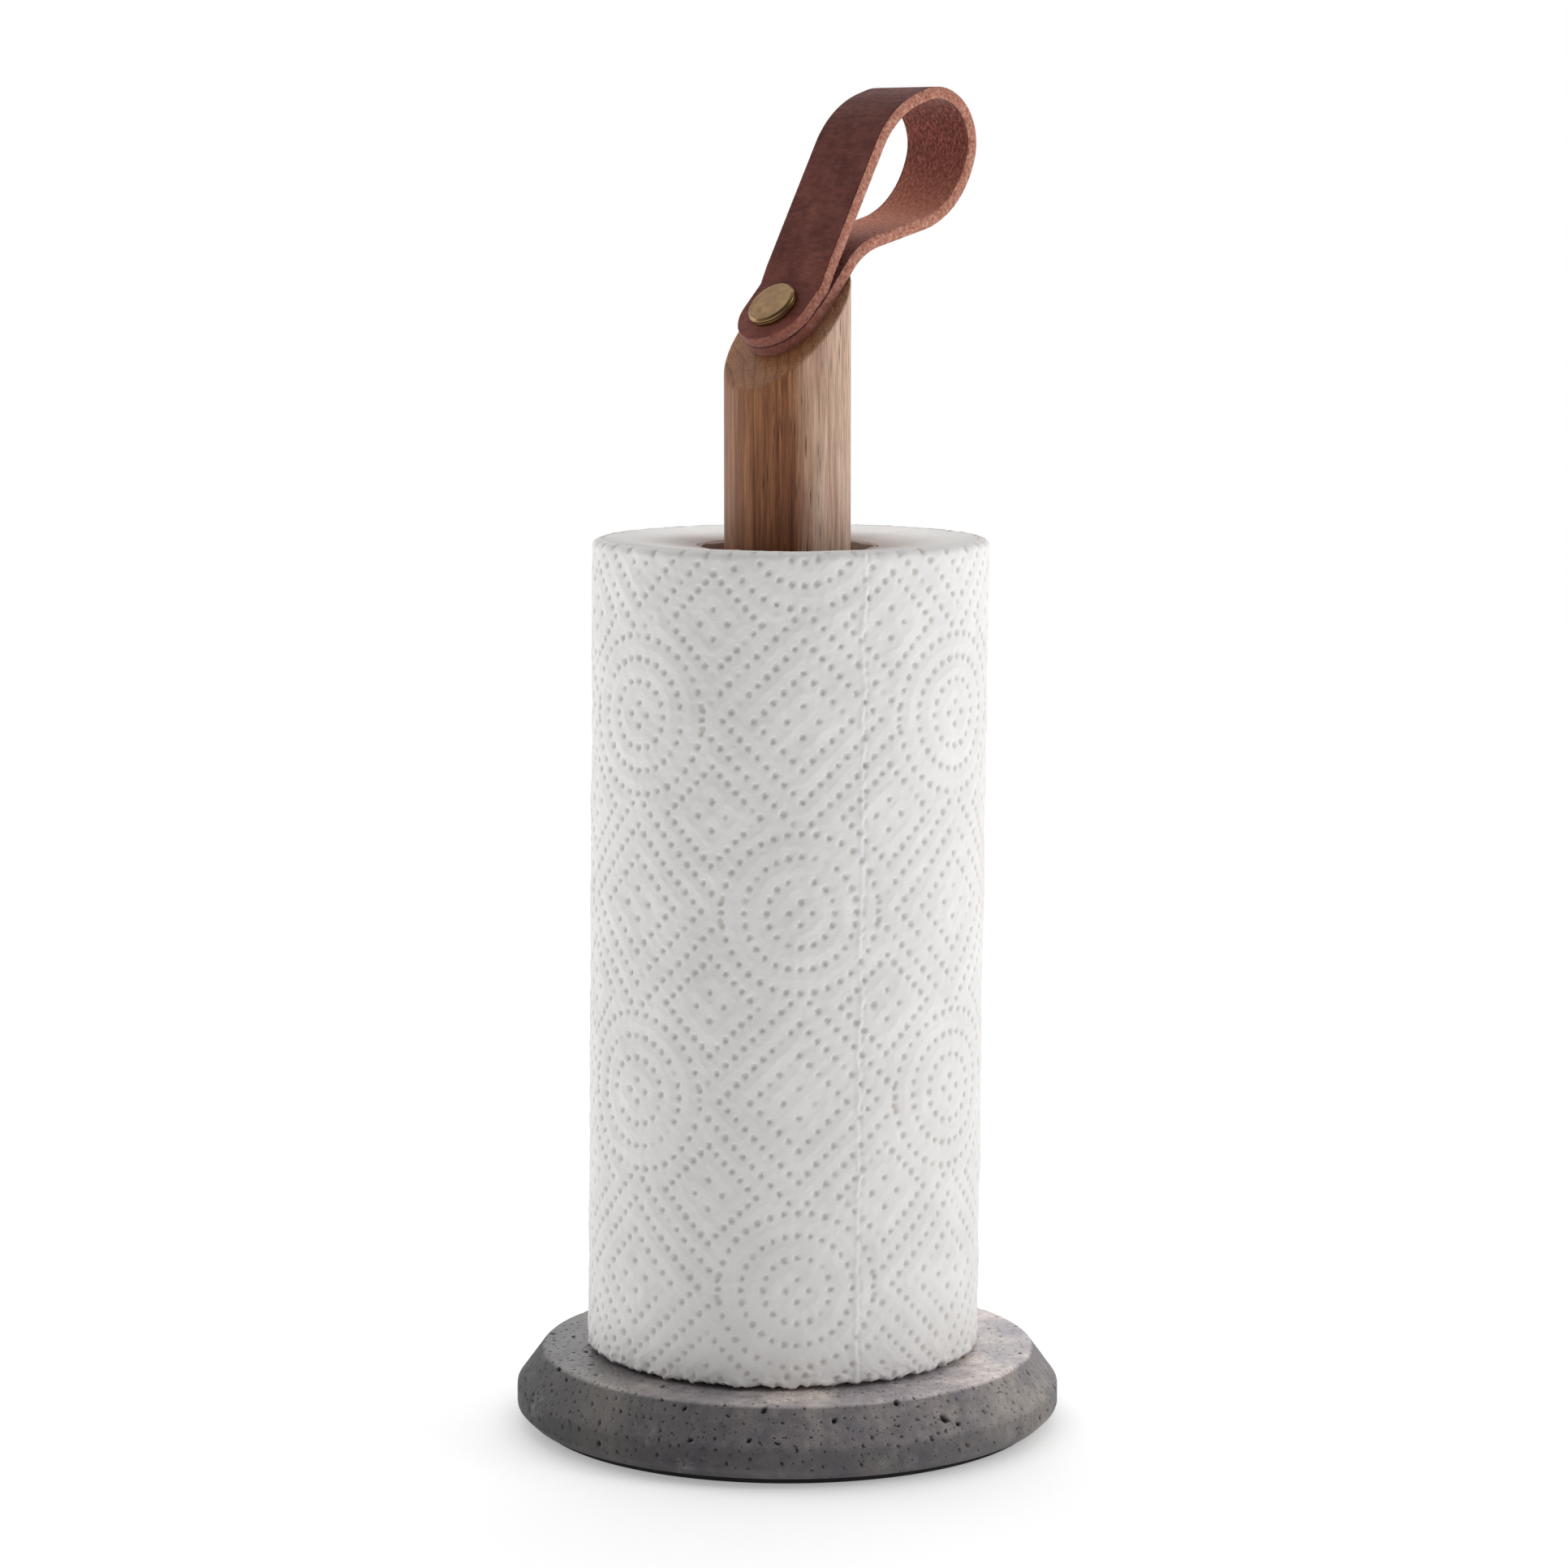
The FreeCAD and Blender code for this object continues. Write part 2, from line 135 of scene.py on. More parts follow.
def new_material(name, **look):
    """A node material with its shader, and the place on the object in millimetres."""
    material = bpy.data.materials.new(name)
    material.use_nodes = True
    tree = material.node_tree
    tree.nodes.clear()
    shader = add(tree, "ShaderNodeBsdfPrincipled", {k.replace("_", " "): v for k, v in look.items()})
    add(tree, "ShaderNodeOutputMaterial", {"Surface": shader})
    where = add(tree, "ShaderNodeTexCoord").outputs["Object"]
    place = add(tree, "ShaderNodeVectorMath", {0: where, 1: (1000, 1000, 1000)}, operation="MULTIPLY")
    return material, tree, shader, place


def make_piece(name, points, faces, materials, layers=None, material_index=None, tidy=True):
    """A smooth mesh object at the origin from points in millimetres, with float layers on its points."""
    mesh = bpy.data.meshes.new(name)
    mesh.from_pydata((np.asarray(points, float).reshape(-1, 3) * MM).tolist(), [], faces)
    for label, values in (layers or {}).items():
        values = np.asarray(values, np.float32)
        flat = values.ndim == 1
        layer = mesh.attributes.new(label, "FLOAT" if flat else "FLOAT_VECTOR", "POINT")
        layer.data.foreach_set("value" if flat else "vector", values.ravel())
    if material_index is not None:
        mesh.polygons.foreach_set("material_index", np.asarray(material_index, np.int32))
    for material in materials:
        mesh.materials.append(material)
    if tidy:
        close_up(mesh)
    mesh.polygons.foreach_set("use_smooth", np.ones(len(mesh.polygons), bool))
    mesh.update()
    piece = bpy.data.objects.new(name, mesh)
    bpy.context.scene.collection.objects.link(piece)
    return piece


def close_up(mesh):
    """Closes seams and poles and turns every face outwards."""
    shape = bmesh.new()
    shape.from_mesh(mesh)
    bmesh.ops.remove_doubles(shape, verts=shape.verts, dist=1e-7)
    bmesh.ops.dissolve_degenerate(shape, edges=shape.edges, dist=1e-7)
    bmesh.ops.recalc_face_normals(shape, faces=shape.faces)
    shape.to_mesh(mesh)
    shape.free()


def fit(piece, body, slot, *nodes):
    """Rides a finished piece on its body and hides the CAD nodes it stands for; its finish, slot, is not used."""
    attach(piece, body)
    if nodes:
        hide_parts(*nodes)


def rounded_line(corners, step, closed=False):
    """Points along a line through corners (x, y, radius, step of the run after it), each corner rounded."""
    points = []
    count = len(corners)
    for index, corner in enumerate(corners):
        here = Vector(corner[:2])
        radius = corner[2] if len(corner) > 2 else 0
        run_step = corner[3] if len(corner) > 3 else step
        if radius == 0 or (not closed and index in (0, count - 1)):
            points.append((here, run_step))
            continue
        back = (Vector(corners[index - 1][:2]) - here).normalized()
        ahead = (Vector(corners[(index + 1) % count][:2]) - here).normalized()
        half = back.angle(ahead) / 2
        centre = here + (back + ahead).normalized() * (radius / math.sin(half))
        first = here + back * (radius / math.tan(half)) - centre
        last = here + ahead * (radius / math.tan(half)) - centre
        turn = math.atan2(first.x * last.y - first.y * last.x, first.dot(last))
        pieces = max(3, math.ceil(abs(turn) * radius / step))
        for k in range(pieces + 1):
            a = turn * k / pieces
            spoke = Vector(
                (first.x * math.cos(a) - first.y * math.sin(a), first.x * math.sin(a) + first.y * math.cos(a))
            )
            points.append((centre + spoke, run_step if k == pieces else step))
    line = []
    for index, (here, run_step) in enumerate(points):
        line.append(here)
        if index + 1 < len(points) or closed:
            ahead = points[(index + 1) % len(points)][0]
            pieces = round((ahead - here).length / run_step)
            line.extend(here.lerp(ahead, k / pieces) for k in range(1, pieces))
    return np.array([tuple(p) for p in line])


def turned(outline, columns, closed=True):
    """A grid of points and its quads: an outline (radius, height) turned about the upright axis."""
    rows = len(outline)
    angle = np.arange(columns) * (2 * math.pi / columns)
    points = np.empty((rows, columns, 3))
    points[..., 0] = outline[:, :1] * np.cos(angle)
    points[..., 1] = outline[:, :1] * np.sin(angle)
    points[..., 2] = outline[:, 1:]
    return points, wrapped_quads(rows, columns, closed)


def wrapped_quads(rows, columns, closed):
    """Quads of a grid whose columns join up, and whose rows do too if it is closed."""
    i = np.arange(rows if closed else rows - 1)[:, None]
    j = np.arange(columns)[None, :]
    below, beside = (i + 1) % rows, (j + 1) % columns
    corners = [i * columns + j, i * columns + beside, below * columns + beside, below * columns + j]
    return np.stack(corners, -1).reshape(-1, 4).tolist()


def on_slant(s, y, d):
    """Points given along the slant, across it and off it, in the frame."""
    return np.stack([(s - d) * SLANT, y + 0 * s, SLANT_HEIGHT + (s + d) * SLANT], -1)


def lean(points, part=1.0):
    """The outer turns of the roll lie a little askew; the ones at the core stay true to it."""
    share = (points[..., 2] - roll_low.z) / (roll_high.z - roll_low.z)
    shift = part * (-1.2 + 2.3 * share)
    points[..., :2] += shift[..., None] * VIEW_RIGHT
    return points


def grow(tree, values, seed_mesh=None):
    """The plain mesh that a geometry tree makes with these inputs; nothing of the modifier is kept."""
    base = bpy.data.objects.new("seed", seed_mesh or bpy.data.meshes.new("seed"))
    bpy.context.scene.collection.objects.link(base)
    modifier = base.modifiers.new("seed", "NODES")
    modifier.node_group = tree
    for socket in tree.interface.items_tree:
        if socket.in_out == "INPUT" and socket.name in values:
            modifier[socket.identifier] = values[socket.name]
    graph = bpy.context.evaluated_depsgraph_get()
    mesh = bpy.data.meshes.new_from_object(
        base.evaluated_get(graph), preserve_all_data_layers=True, depsgraph=graph
    )
    base.modifiers.remove(modifier)
    bpy.data.objects.remove(base)
    return mesh


def new_tree(name, values):
    """An empty geometry tree with a named input for each size; returns it with its group inputs."""
    tree = bpy.data.node_groups.new(name, "GeometryNodeTree")
    tree.interface.new_socket("Geometry", in_out="INPUT", socket_type="NodeSocketGeometry")
    tree.interface.new_socket("Geometry", in_out="OUTPUT", socket_type="NodeSocketGeometry")
    for label in values:
        tree.interface.new_socket(label, in_out="INPUT", socket_type="NodeSocketFloat")
    return tree, add(tree, "NodeGroupInput").outputs


# ---------------------------------------------------------------- materials


def cast_concrete():
    """Cast concrete, wax sealed: grey cement clouds and fine sand, with painted light and shade over the foot and air
    bubbles painted dark as painted shade.
    """
    material, tree, shader, place = new_material("cast_concrete", IOR=1.58)
    clouds = add(tree, NOISE, {"Vector": place, "Scale": 1 / 26, "Detail": 5.0, "Roughness": 0.62})
    mottle = add(tree, NOISE, {"Vector": place, "Scale": 1 / 3.2, "Detail": 4.0, "Roughness": 0.6})
    sand = add(tree, NOISE, {"Vector": place, "Scale": 1 / 0.34, "Detail": 2.0, "Roughness": 0.7})
    tone = add(tree, RAMP, {"Fac": clouds}, [(0.34, "56535a"), (0.5, "696566"), (0.66, "837d79")])
    fleck = add(tree, RAMP, {"Fac": mottle}, [(0.25, "8a8688"), (0.5, "b4b1b0"), (0.78, "d6d2cf")])
    # painted light and shade: one side of the foot is painted paler, towards the key light; the rim is painted
    # darker as painted shade, and the top face is painted much paler as a painted sheen; it is also smoother
    side = add(tree, "ShaderNodeVectorMath", {0: place, 1: (0.62, -0.78, 0.0)}, operation="DOT_PRODUCT")
    painted_side_light = add(tree, SPREAD, {
        "Value": side.outputs["Value"], "From Min": -72.0, "From Max": 14.0, "To Min": 0.3, "To Max": 2.6
    })
    level = add(tree, "ShaderNodeSeparateXYZ", {"Vector": place}).outputs["Z"]
    painted_rim_shade = add(tree, SPREAD, {
        "Value": level, "From Min": 9.8, "From Max": 11.4, "To Min": 0.58, "To Max": 1.0
    })
    upper = add(tree, SPREAD, {"Value": level, "From Min": base_top - 0.9, "From Max": base_top - 0.25})
    painted_top_sheen_and_rim_shade = add(tree, MATH, {0: upper, 1: 1.5, 2: painted_rim_shade}, operation="MULTIPLY_ADD")
    painted_light_factor = add(tree, MATH, {0: painted_side_light, 1: painted_top_sheen_and_rim_shade}, operation="MULTIPLY")
    cement = add(tree, "ShaderNodeVectorMath", {0: tone, "Scale": painted_light_factor}, operation="SCALE")
    body = add(
        tree, MIX, {"Factor": 0.75, "A": cement, "B": fleck}, data_type="RGBA", blend_type="MULTIPLY"
    )
    grit = add(tree, SPREAD, {"Value": sand, "From Min": 0.3, "From Max": 0.75, "To Min": 0.72, "To Max": 1.22})
    speckled = add(
        tree, "ShaderNodeVectorMath", {0: body, "Scale": grit}, operation="SCALE"
    )
    # lime bloom: pale dusty patches that the wax leaves
    bloom = add(tree, NOISE, {"Vector": place, "Scale": 1 / 11, "Detail": 6.0, "Roughness": 0.72})
    dust = add(tree, SPREAD, {"Value": bloom, "From Min": 0.56, "From Max": 0.78, "To Max": 0.42})
    dusty = add(tree, MIX, {"Factor": dust, "A": speckled, "B": "a39e9b"}, data_type="RGBA")
    # pinholes of about 0.3 mm, too small for the mesh; their dark insides are painted shade
    cells = add(tree, "ShaderNodeTexVoronoi", {"Vector": place, "Scale": 1 / 1.5, "Randomness": 1.0})
    patch = add(tree, NOISE, {"Vector": place, "Scale": 1 / 9, "Detail": 2.0})
    reach = add(tree, SPREAD, {"Value": patch, "From Min": 0.38, "From Max": 0.66, "To Min": 0.05, "To Max": 0.26})
    floor_reach = add(tree, MATH, {0: reach, 1: 0.6}, operation="MULTIPLY")
    hole = add(tree, SPREAD, {
        "Value": cells, "From Min": floor_reach, "From Max": reach, "To Min": 1.0, "To Max": 0.0
    })
    cavity = add(tree, "ShaderNodeAttribute", attribute_name="pit").outputs["Fac"]
    shadow = add(tree, MATH, {0: hole, 1: cavity}, operation="MAXIMUM")
    # painted shade: the pinholes, and the bubbles pressed into the mesh, are painted near black
    colour = add(tree, MIX, {"Factor": shadow, "A": dusty, "B": "171516"}, data_type="RGBA")
    patchy = add(tree, SPREAD, {"Value": mottle, "From Min": 0.3, "From Max": 0.7, "To Min": 0.6, "To Max": 0.78})
    rough = add(tree, MATH, {0: upper, 1: -0.3, 2: patchy}, operation="MULTIPLY_ADD")
    relief = add(tree, MATH, {0: hole, 1: -0.8, 2: sand}, operation="MULTIPLY_ADD")
    bump = add(tree, "ShaderNodeBump", {"Height": relief, "Strength": 0.55, "Distance": 0.00012})
    wire(tree, shader, {"Base Color": colour, "Roughness": rough, "Normal": bump})
    return material


def oiled_walnut():
    """Oiled walnut, turned and sanded: year rings, long dark pores, and fine fibres along the grain."""
    material, tree, shader, place = new_material("oiled_walnut", IOR=1.47, Specular_IOR_Level=0.3)
    # the tree's heart lies beside the post, so its rings cross the post as nearly flat bands
    wander = add(tree, NOISE, {"Vector": add(
        tree, "ShaderNodeMapping", {"Vector": place, "Scale": (0.05, 0.05, 0.006)}
    ), "Scale": 1.0, "Detail": 2.0})
    heart = add(tree, "ShaderNodeVectorMath", {0: place, 1: (-52.0, 34.0, 0.0)}, operation="SUBTRACT")
    flat = add(tree, "ShaderNodeVectorMath", {0: heart, 1: (1.0, 1.0, 0.02)}, operation="MULTIPLY")
    distance = add(tree, "ShaderNodeVectorMath", {0: flat}, operation="LENGTH").outputs["Value"]
    bent = add(tree, MATH, {0: wander, 1: 9.0, 2: distance}, operation="MULTIPLY_ADD")
    year = add(tree, MATH, {0: bent, 1: 1 / 2.9}, operation="MULTIPLY")
    ring = add(tree, MATH, {0: year}, operation="FRACT")
    fibre_place = add(tree, "ShaderNodeMapping", {"Vector": place, "Scale": (1.0, 1.0, 0.035)})
    fibre = add(tree, NOISE, {"Vector": fibre_place, "Scale": 2.2, "Detail": 5.0, "Roughness": 0.75})
    streak = add(tree, NOISE, {"Vector": fibre_place, "Scale": 0.42, "Detail": 3.0, "Roughness": 0.6})
    band = add(tree, RAMP, {"Fac": ring}, [
        (0.0, "7f4f33"), (0.12, "9b6646"), (0.7, "915c3d"), (0.93, "613924"), (1.0, "7b4d33")
    ])
    tint = add(tree, RAMP, {"Fac": streak}, [(0.34, "683a23"), (0.5, "99623f"), (0.66, "c08b62")])
    wood = add(tree, MIX, {"Factor": 0.55, "A": band, "B": tint}, data_type="RGBA")
    # the wood is drawn much paler towards one side of the post, on the viewer's right
    toward_pale_side = add(tree, "ShaderNodeVectorMath", {0: place, 1: (0.28, -0.96, 0.0)}, operation="DOT_PRODUCT")
    ragged = add(tree, MATH, {0: streak, 1: 5.0, 2: toward_pale_side.outputs["Value"]}, operation="MULTIPLY_ADD")
    pale_side = add(tree, SPREAD, {"Value": ragged, "From Min": 11.2, "From Max": 18.5, "To Min": 0.0, "To Max": 0.85})
    pale = add(tree, RAMP, {"Fac": streak}, [(0.3, "b8937b"), (0.5, "d0b09a"), (0.7, "dcc5b4")])
    wood = add(tree, MIX, {"Factor": pale_side, "A": wood, "B": pale}, data_type="RGBA")
    line = add(tree, SPREAD, {"Value": fibre, "From Min": 0.36, "From Max": 0.62, "To Min": 0.62, "To Max": 1.22})
    lined = add(tree, "ShaderNodeVectorMath", {0: wood, "Scale": line}, operation="SCALE")
    # pores: 0.2 mm wide and up to 8 mm long, thickest at the start of a year
    pore_place = add(tree, "ShaderNodeMapping", {"Vector": place, "Scale": (1.0, 1.0, 0.075)})
    pores = add(tree, "ShaderNodeTexVoronoi", {"Vector": pore_place, "Scale": 1.1, "Randomness": 1.0})
    early = add(tree, SPREAD, {"Value": ring, "From Min": 0.0, "From Max": 0.85, "To Min": 0.36, "To Max": 0.2})
    pore = add(tree, SPREAD, {"Value": pores, "From Min": 0.1, "From Max": early, "To Min": 1.0, "To Max": 0.0})
    gap_place = add(tree, "ShaderNodeMapping", {"Vector": place, "Scale": (0.16, 0.16, 0.02)})
    gaps = add(tree, NOISE, {"Vector": gap_place, "Scale": 1.0, "Detail": 2.0})
    chosen = add(tree, SPREAD, {"Value": gaps, "From Min": 0.42, "From Max": 0.52})
    open_pore = add(tree, MATH, {0: pore, 1: chosen}, operation="MULTIPLY")
    dark = add(tree, MATH, {0: open_pore, 1: 0.85}, operation="MULTIPLY")
    cut = add(tree, "ShaderNodeAttribute", attribute_name="end_grain").outputs["Fac"]
    # on the cut the pores are dots in rows, drawn at 0.7 mm, and each year ends in a thin dark line
    rows_place = add(tree, "ShaderNodeMapping", {"Vector": place, "Rotation": (0, 0, 0.6)})
    dense = add(tree, "ShaderNodeTexVoronoi", {"Vector": rows_place, "Scale": 1.45, "Randomness": 0.45})
    speck = add(tree, SPREAD, {"Value": dense, "From Min": 0.2, "From Max": 0.46, "To Min": 0.62, "To Max": 0.0})
    year_end = add(tree, SPREAD, {"Value": ring, "From Min": 0.8, "From Max": 0.97, "To Min": 0.0, "To Max": 0.42})
    marks = add(tree, MATH, {0: speck, 1: year_end}, operation="MAXIMUM")
    end_speck = add(tree, MATH, {0: marks, 1: cut}, operation="MULTIPLY")
    end_wood = add(tree, MIX, {"Factor": cut, "A": lined, "B": "ab7349"}, data_type="RGBA")
    end_tone = add(tree, MIX, {"Factor": 0.42, "A": end_wood, "B": lined}, data_type="RGBA")
    hollow = add(tree, MATH, {0: dark, 1: end_speck}, operation="MAXIMUM")
    colour = add(tree, MIX, {"Factor": hollow, "A": end_tone, "B": "4a2c1f"}, data_type="RGBA")
    relief = add(tree, MATH, {0: hollow, 1: -1.6, 2: fibre}, operation="MULTIPLY_ADD")
    bump = add(tree, "ShaderNodeBump", {"Height": relief, "Strength": 0.4, "Distance": 0.00012})
    rough = add(tree, SPREAD, {"Value": fibre, "From Min": 0.3, "From Max": 0.7, "To Min": 0.42, "To Max": 0.6})
    wire(tree, shader, {"Base Color": colour, "Roughness": rough, "Normal": bump})
    return material


def leather_grain():
    """Vegetable tanned leather, dyed through and waxed: a closed grain with fine creases and a soft shine."""
    material, tree, shader, place = new_material("leather_grain_side", Specular_IOR_Level=0.08)
    hide = add(tree, "ShaderNodeAttribute", attribute_name="hide").outputs["Vector"]
    pebbles = add(tree, "ShaderNodeTexVoronoi", {"Vector": hide, "Scale": 1 / 0.55}, feature="DISTANCE_TO_EDGE")
    stretched = add(tree, "ShaderNodeMapping", {"Vector": hide, "Scale": (1.0, 0.34, 1.0)})
    creases = add(tree, NOISE, {"Vector": stretched, "Scale": 1 / 1.2, "Detail": 5.0, "Roughness": 0.68})
    clouds = add(tree, NOISE, {"Vector": hide, "Scale": 1 / 9, "Detail": 4.0, "Roughness": 0.6})
    tone = add(tree, RAMP, {"Fac": clouds}, [(0.3, "5f302a"), (0.52, "703e36"), (0.75, "804a40")])
    shade = add(tree, SPREAD, {"Value": creases, "From Min": 0.36, "From Max": 0.64, "To Min": 0.78, "To Max": 1.2})
    # painted light: the grain side is painted paler near the screw, most on the lower leg
    taken = add(tree, "ShaderNodeAttribute", attribute_name="near_screw_shading_and_dye").outputs["Fac"]
    paler = add(tree, MATH, {0: taken, 1: 0.55, 2: shade}, operation="MULTIPLY_ADD")
    body = add(tree, "ShaderNodeVectorMath", {0: tone, "Scale": paler}, operation="SCALE")
    # stray dust specks on the wax
    dust = add(tree, "ShaderNodeTexVoronoi", {"Vector": hide, "Scale": 1 / 4.5})
    speck = add(tree, SPREAD, {"Value": dust, "From Min": 0.015, "From Max": 0.04, "To Min": 0.6, "To Max": 0.0})
    colour = add(tree, MIX, {"Factor": speck, "A": body, "B": "a4716a"}, data_type="RGBA")
    pebble = add(tree, SPREAD, {"Value": pebbles, "From Min": 0.0, "From Max": 0.16})
    relief = add(tree, MATH, {0: pebble, 1: 0.45, 2: creases}, operation="MULTIPLY_ADD")
    bump = add(tree, "ShaderNodeBump", {"Height": relief, "Strength": 0.7, "Distance": 0.0003})
    rough = add(tree, SPREAD, {"Value": creases, "From Min": 0.3, "From Max": 0.7, "To Min": 0.64, "To Max": 0.52})
    wire(tree, shader, {"Base Color": colour, "Roughness": rough, "Normal": bump})
    return material


def leather_edge():
    """The strap's cut edge, left raw: pale fibres with dark gaps between their bundles."""
    material, tree, shader, place = new_material("leather_cut_edge", Roughness=0.9, IOR=1.45)
    hide = add(tree, "ShaderNodeAttribute", attribute_name="hide")
    fibres = add(tree, NOISE, {"Vector": hide.outputs["Vector"], "Scale": 1 / 0.42, "Detail": 4.0, "Roughness": 0.75})
    bundles = add(tree, NOISE, {"Vector": hide.outputs["Vector"], "Scale": 1 / 1.1, "Detail": 3.0, "Roughness": 0.7})
    tone = add(tree, RAMP, {"Fac": bundles}, [(0.3, "9a5a46"), (0.5, "bd7f69"), (0.72, "e0b09b")])
    gap = add(tree, SPREAD, {"Value": fibres, "From Min": 0.38, "From Max": 0.48, "To Min": 0.9, "To Max": 0.0})
    pale = add(tree, MIX, {"Factor": gap, "A": tone, "B": "733a30"}, data_type="RGBA")
    # darker near the screw: partly painted shade, partly a darker dye
    along = add(tree, "ShaderNodeAttribute", attribute_name="near_screw_shading_and_dye").outputs["Fac"]
    edge_shade_and_dye = add(tree, MATH, {0: along, 1: 0.8}, operation="MULTIPLY")
    colour = add(tree, MIX, {"Factor": edge_shade_and_dye, "A": pale, "B": "6b3026"}, data_type="RGBA")
    bump = add(tree, "ShaderNodeBump", {"Height": fibres, "Strength": 0.7, "Distance": 0.0002})
    wire(tree, shader, {"Base Color": colour, "Normal": bump, "Sheen Weight": 0.15, "Sheen Roughness": 0.5})
    return material


def leather_flesh():
    """The strap's flesh side, sueded: a short nap brushed in patches, darker where it lies down."""
    material, tree, shader, place = new_material("leather_flesh_side", Roughness=0.95, IOR=1.45)
    hide = add(tree, "ShaderNodeAttribute", attribute_name="hide").outputs["Vector"]
    brushed = add(tree, "ShaderNodeMapping", {"Vector": hide, "Scale": (0.45, 1.0, 1.0), "Rotation": (0, 0, 0.4)})
    nap = add(tree, NOISE, {"Vector": brushed, "Scale": 1 / 0.75, "Detail": 5.0, "Roughness": 0.75})
    patches = add(tree, NOISE, {"Vector": hide, "Scale": 1 / 6, "Detail": 3.0})
    tone = add(tree, RAMP, {"Fac": nap}, [(0.36, "3a1712"), (0.5, "773a2f"), (0.64, "b06c5c")])
    light = add(tree, SPREAD, {"Value": patches, "From Min": 0.3, "From Max": 0.7, "To Min": 0.85, "To Max": 1.15})
    shaded = add(tree, "ShaderNodeVectorMath", {0: tone, "Scale": light}, operation="SCALE")
    # painted light and sheen: the flesh side is painted lighter and pinker where the two legs part
    raised = add(tree, "ShaderNodeAttribute", attribute_name="raised").outputs["Fac"]
    pink = add(tree, RAMP, {"Fac": nap}, [(0.34, "9c4e3a"), (0.5, "d6805f"), (0.68, "eea886")])
    colour = add(tree, MIX, {"Factor": raised, "A": shaded, "B": pink}, data_type="RGBA")
    bump = add(tree, "ShaderNodeBump", {"Height": nap, "Strength": 0.8, "Distance": 0.00025})
    wire(tree, shader, {"Base Color": colour, "Normal": bump, "Sheen Weight": 0.2, "Sheen Roughness": 0.4})
    return material


def aged_brass():
    """Solid brass, turned on a lathe and left to dull: fine circles on its face and a brown-green film."""
    material, tree, shader, place = new_material("aged_brass", Metallic=1.0)
    shift = SLANT * SLANT_HEIGHT
    level = add(tree, "ShaderNodeMapping", {
        "Vector": place, "Rotation": (0, math.radians(45), 0), "Location": (-shift, 0, -shift)
    })
    face = add(tree, "ShaderNodeVectorMath", {0: level, 1: (1, 1, 0)}, operation="MULTIPLY")
    radius = add(tree, "ShaderNodeVectorMath", {0: face}, operation="LENGTH").outputs["Value"]
    film = add(tree, NOISE, {"Vector": level, "Scale": 1 / 2.2, "Detail": 5.0, "Roughness": 0.65})
    spots = add(tree, NOISE, {"Vector": level, "Scale": 1 / 0.5, "Detail": 3.0, "Roughness": 0.7})
    tone = add(tree, RAMP, {"Fac": film}, [(0.3, "775a3d"), (0.52, "866a49"), (0.75, "957850")])
    mark = add(tree, SPREAD, {"Value": spots, "From Min": 0.3, "From Max": 0.7, "To Min": 0.92, "To Max": 1.05})
    colour = add(tree, "ShaderNodeVectorMath", {0: tone, "Scale": mark}, operation="SCALE")
    # tool marks every 0.3 mm, drawn coarser than a lathe leaves them so that they show
    ring_place = add(tree, "ShaderNodeCombineXYZ", {"X": radius})
    rings = add(tree, NOISE, {"Vector": ring_place, "Scale": 1 / 0.3, "Detail": 3.0, "Roughness": 0.8})
    relief = add(tree, MATH, {0: spots, 1: 0.5, 2: rings}, operation="MULTIPLY_ADD")
    bump = add(tree, "ShaderNodeBump", {"Height": relief, "Strength": 0.05, "Distance": 0.00002})
    rough = add(tree, SPREAD, {"Value": film, "From Min": 0.3, "From Max": 0.7, "To Min": 0.34, "To Max": 0.24})
    wire(tree, shader, {"Base Color": colour, "Roughness": rough, "Normal": bump})
    return material


def zinc_steel():
    """Zinc plated steel: a cool grey with the faint cloudy grain of the plating."""
    material, tree, shader, place = new_material("zinc_plated_steel", Metallic=1.0, Roughness=0.36)
    grain = add(tree, "ShaderNodeTexVoronoi", {"Vector": place, "Scale": 1 / 0.9})
    clouds = add(tree, NOISE, {"Vector": place, "Scale": 1 / 2.5, "Detail": 4.0})
    tone = add(tree, RAMP, {"Fac": clouds}, [(0.3, "8e9296"), (0.55, "abafb3"), (0.75, "c3c6c8")])
    shade = add(tree, SPREAD, {"Value": grain, "From Max": 0.8, "To Min": 1.05, "To Max": 0.9})
    colour = add(tree, "ShaderNodeVectorMath", {0: tone, "Scale": shade}, operation="SCALE")
    rough = add(tree, SPREAD, {"Value": clouds, "From Min": 0.3, "From Max": 0.7, "To Min": 0.3, "To Max": 0.48})
    bump = add(tree, "ShaderNodeBump", {"Height": clouds, "Strength": 0.15, "Distance": 0.00005})
    wire(tree, shader, {"Base Color": colour, "Roughness": rough, "Normal": bump})
    return material


def pad_rubber():
    """Moulded rubber foot: near black, matt, with a fine sandblasted skin and a little dust."""
    material, tree, shader, place = new_material("moulded_rubber", Roughness=0.85, IOR=1.5)
    skin = add(tree, NOISE, {"Vector": place, "Scale": 1 / 0.4, "Detail": 3.0, "Roughness": 0.6})
    dust = add(tree, NOISE, {"Vector": place, "Scale": 1 / 7, "Detail": 5.0, "Roughness": 0.7})
    colour = add(tree, RAMP, {"Fac": dust}, [(0.35, "1b1a1b"), (0.6, "262526"), (0.8, "3a3836")])
    rough = add(tree, SPREAD, {"Value": dust, "From Min": 0.3, "From Max": 0.7, "To Min": 0.78, "To Max": 0.92})
    bump = add(tree, "ShaderNodeBump", {"Height": skin, "Strength": 0.5, "Distance": 0.0001})
    wire(tree, shader, {"Base Color": colour, "Roughness": rough, "Normal": bump})
    return material


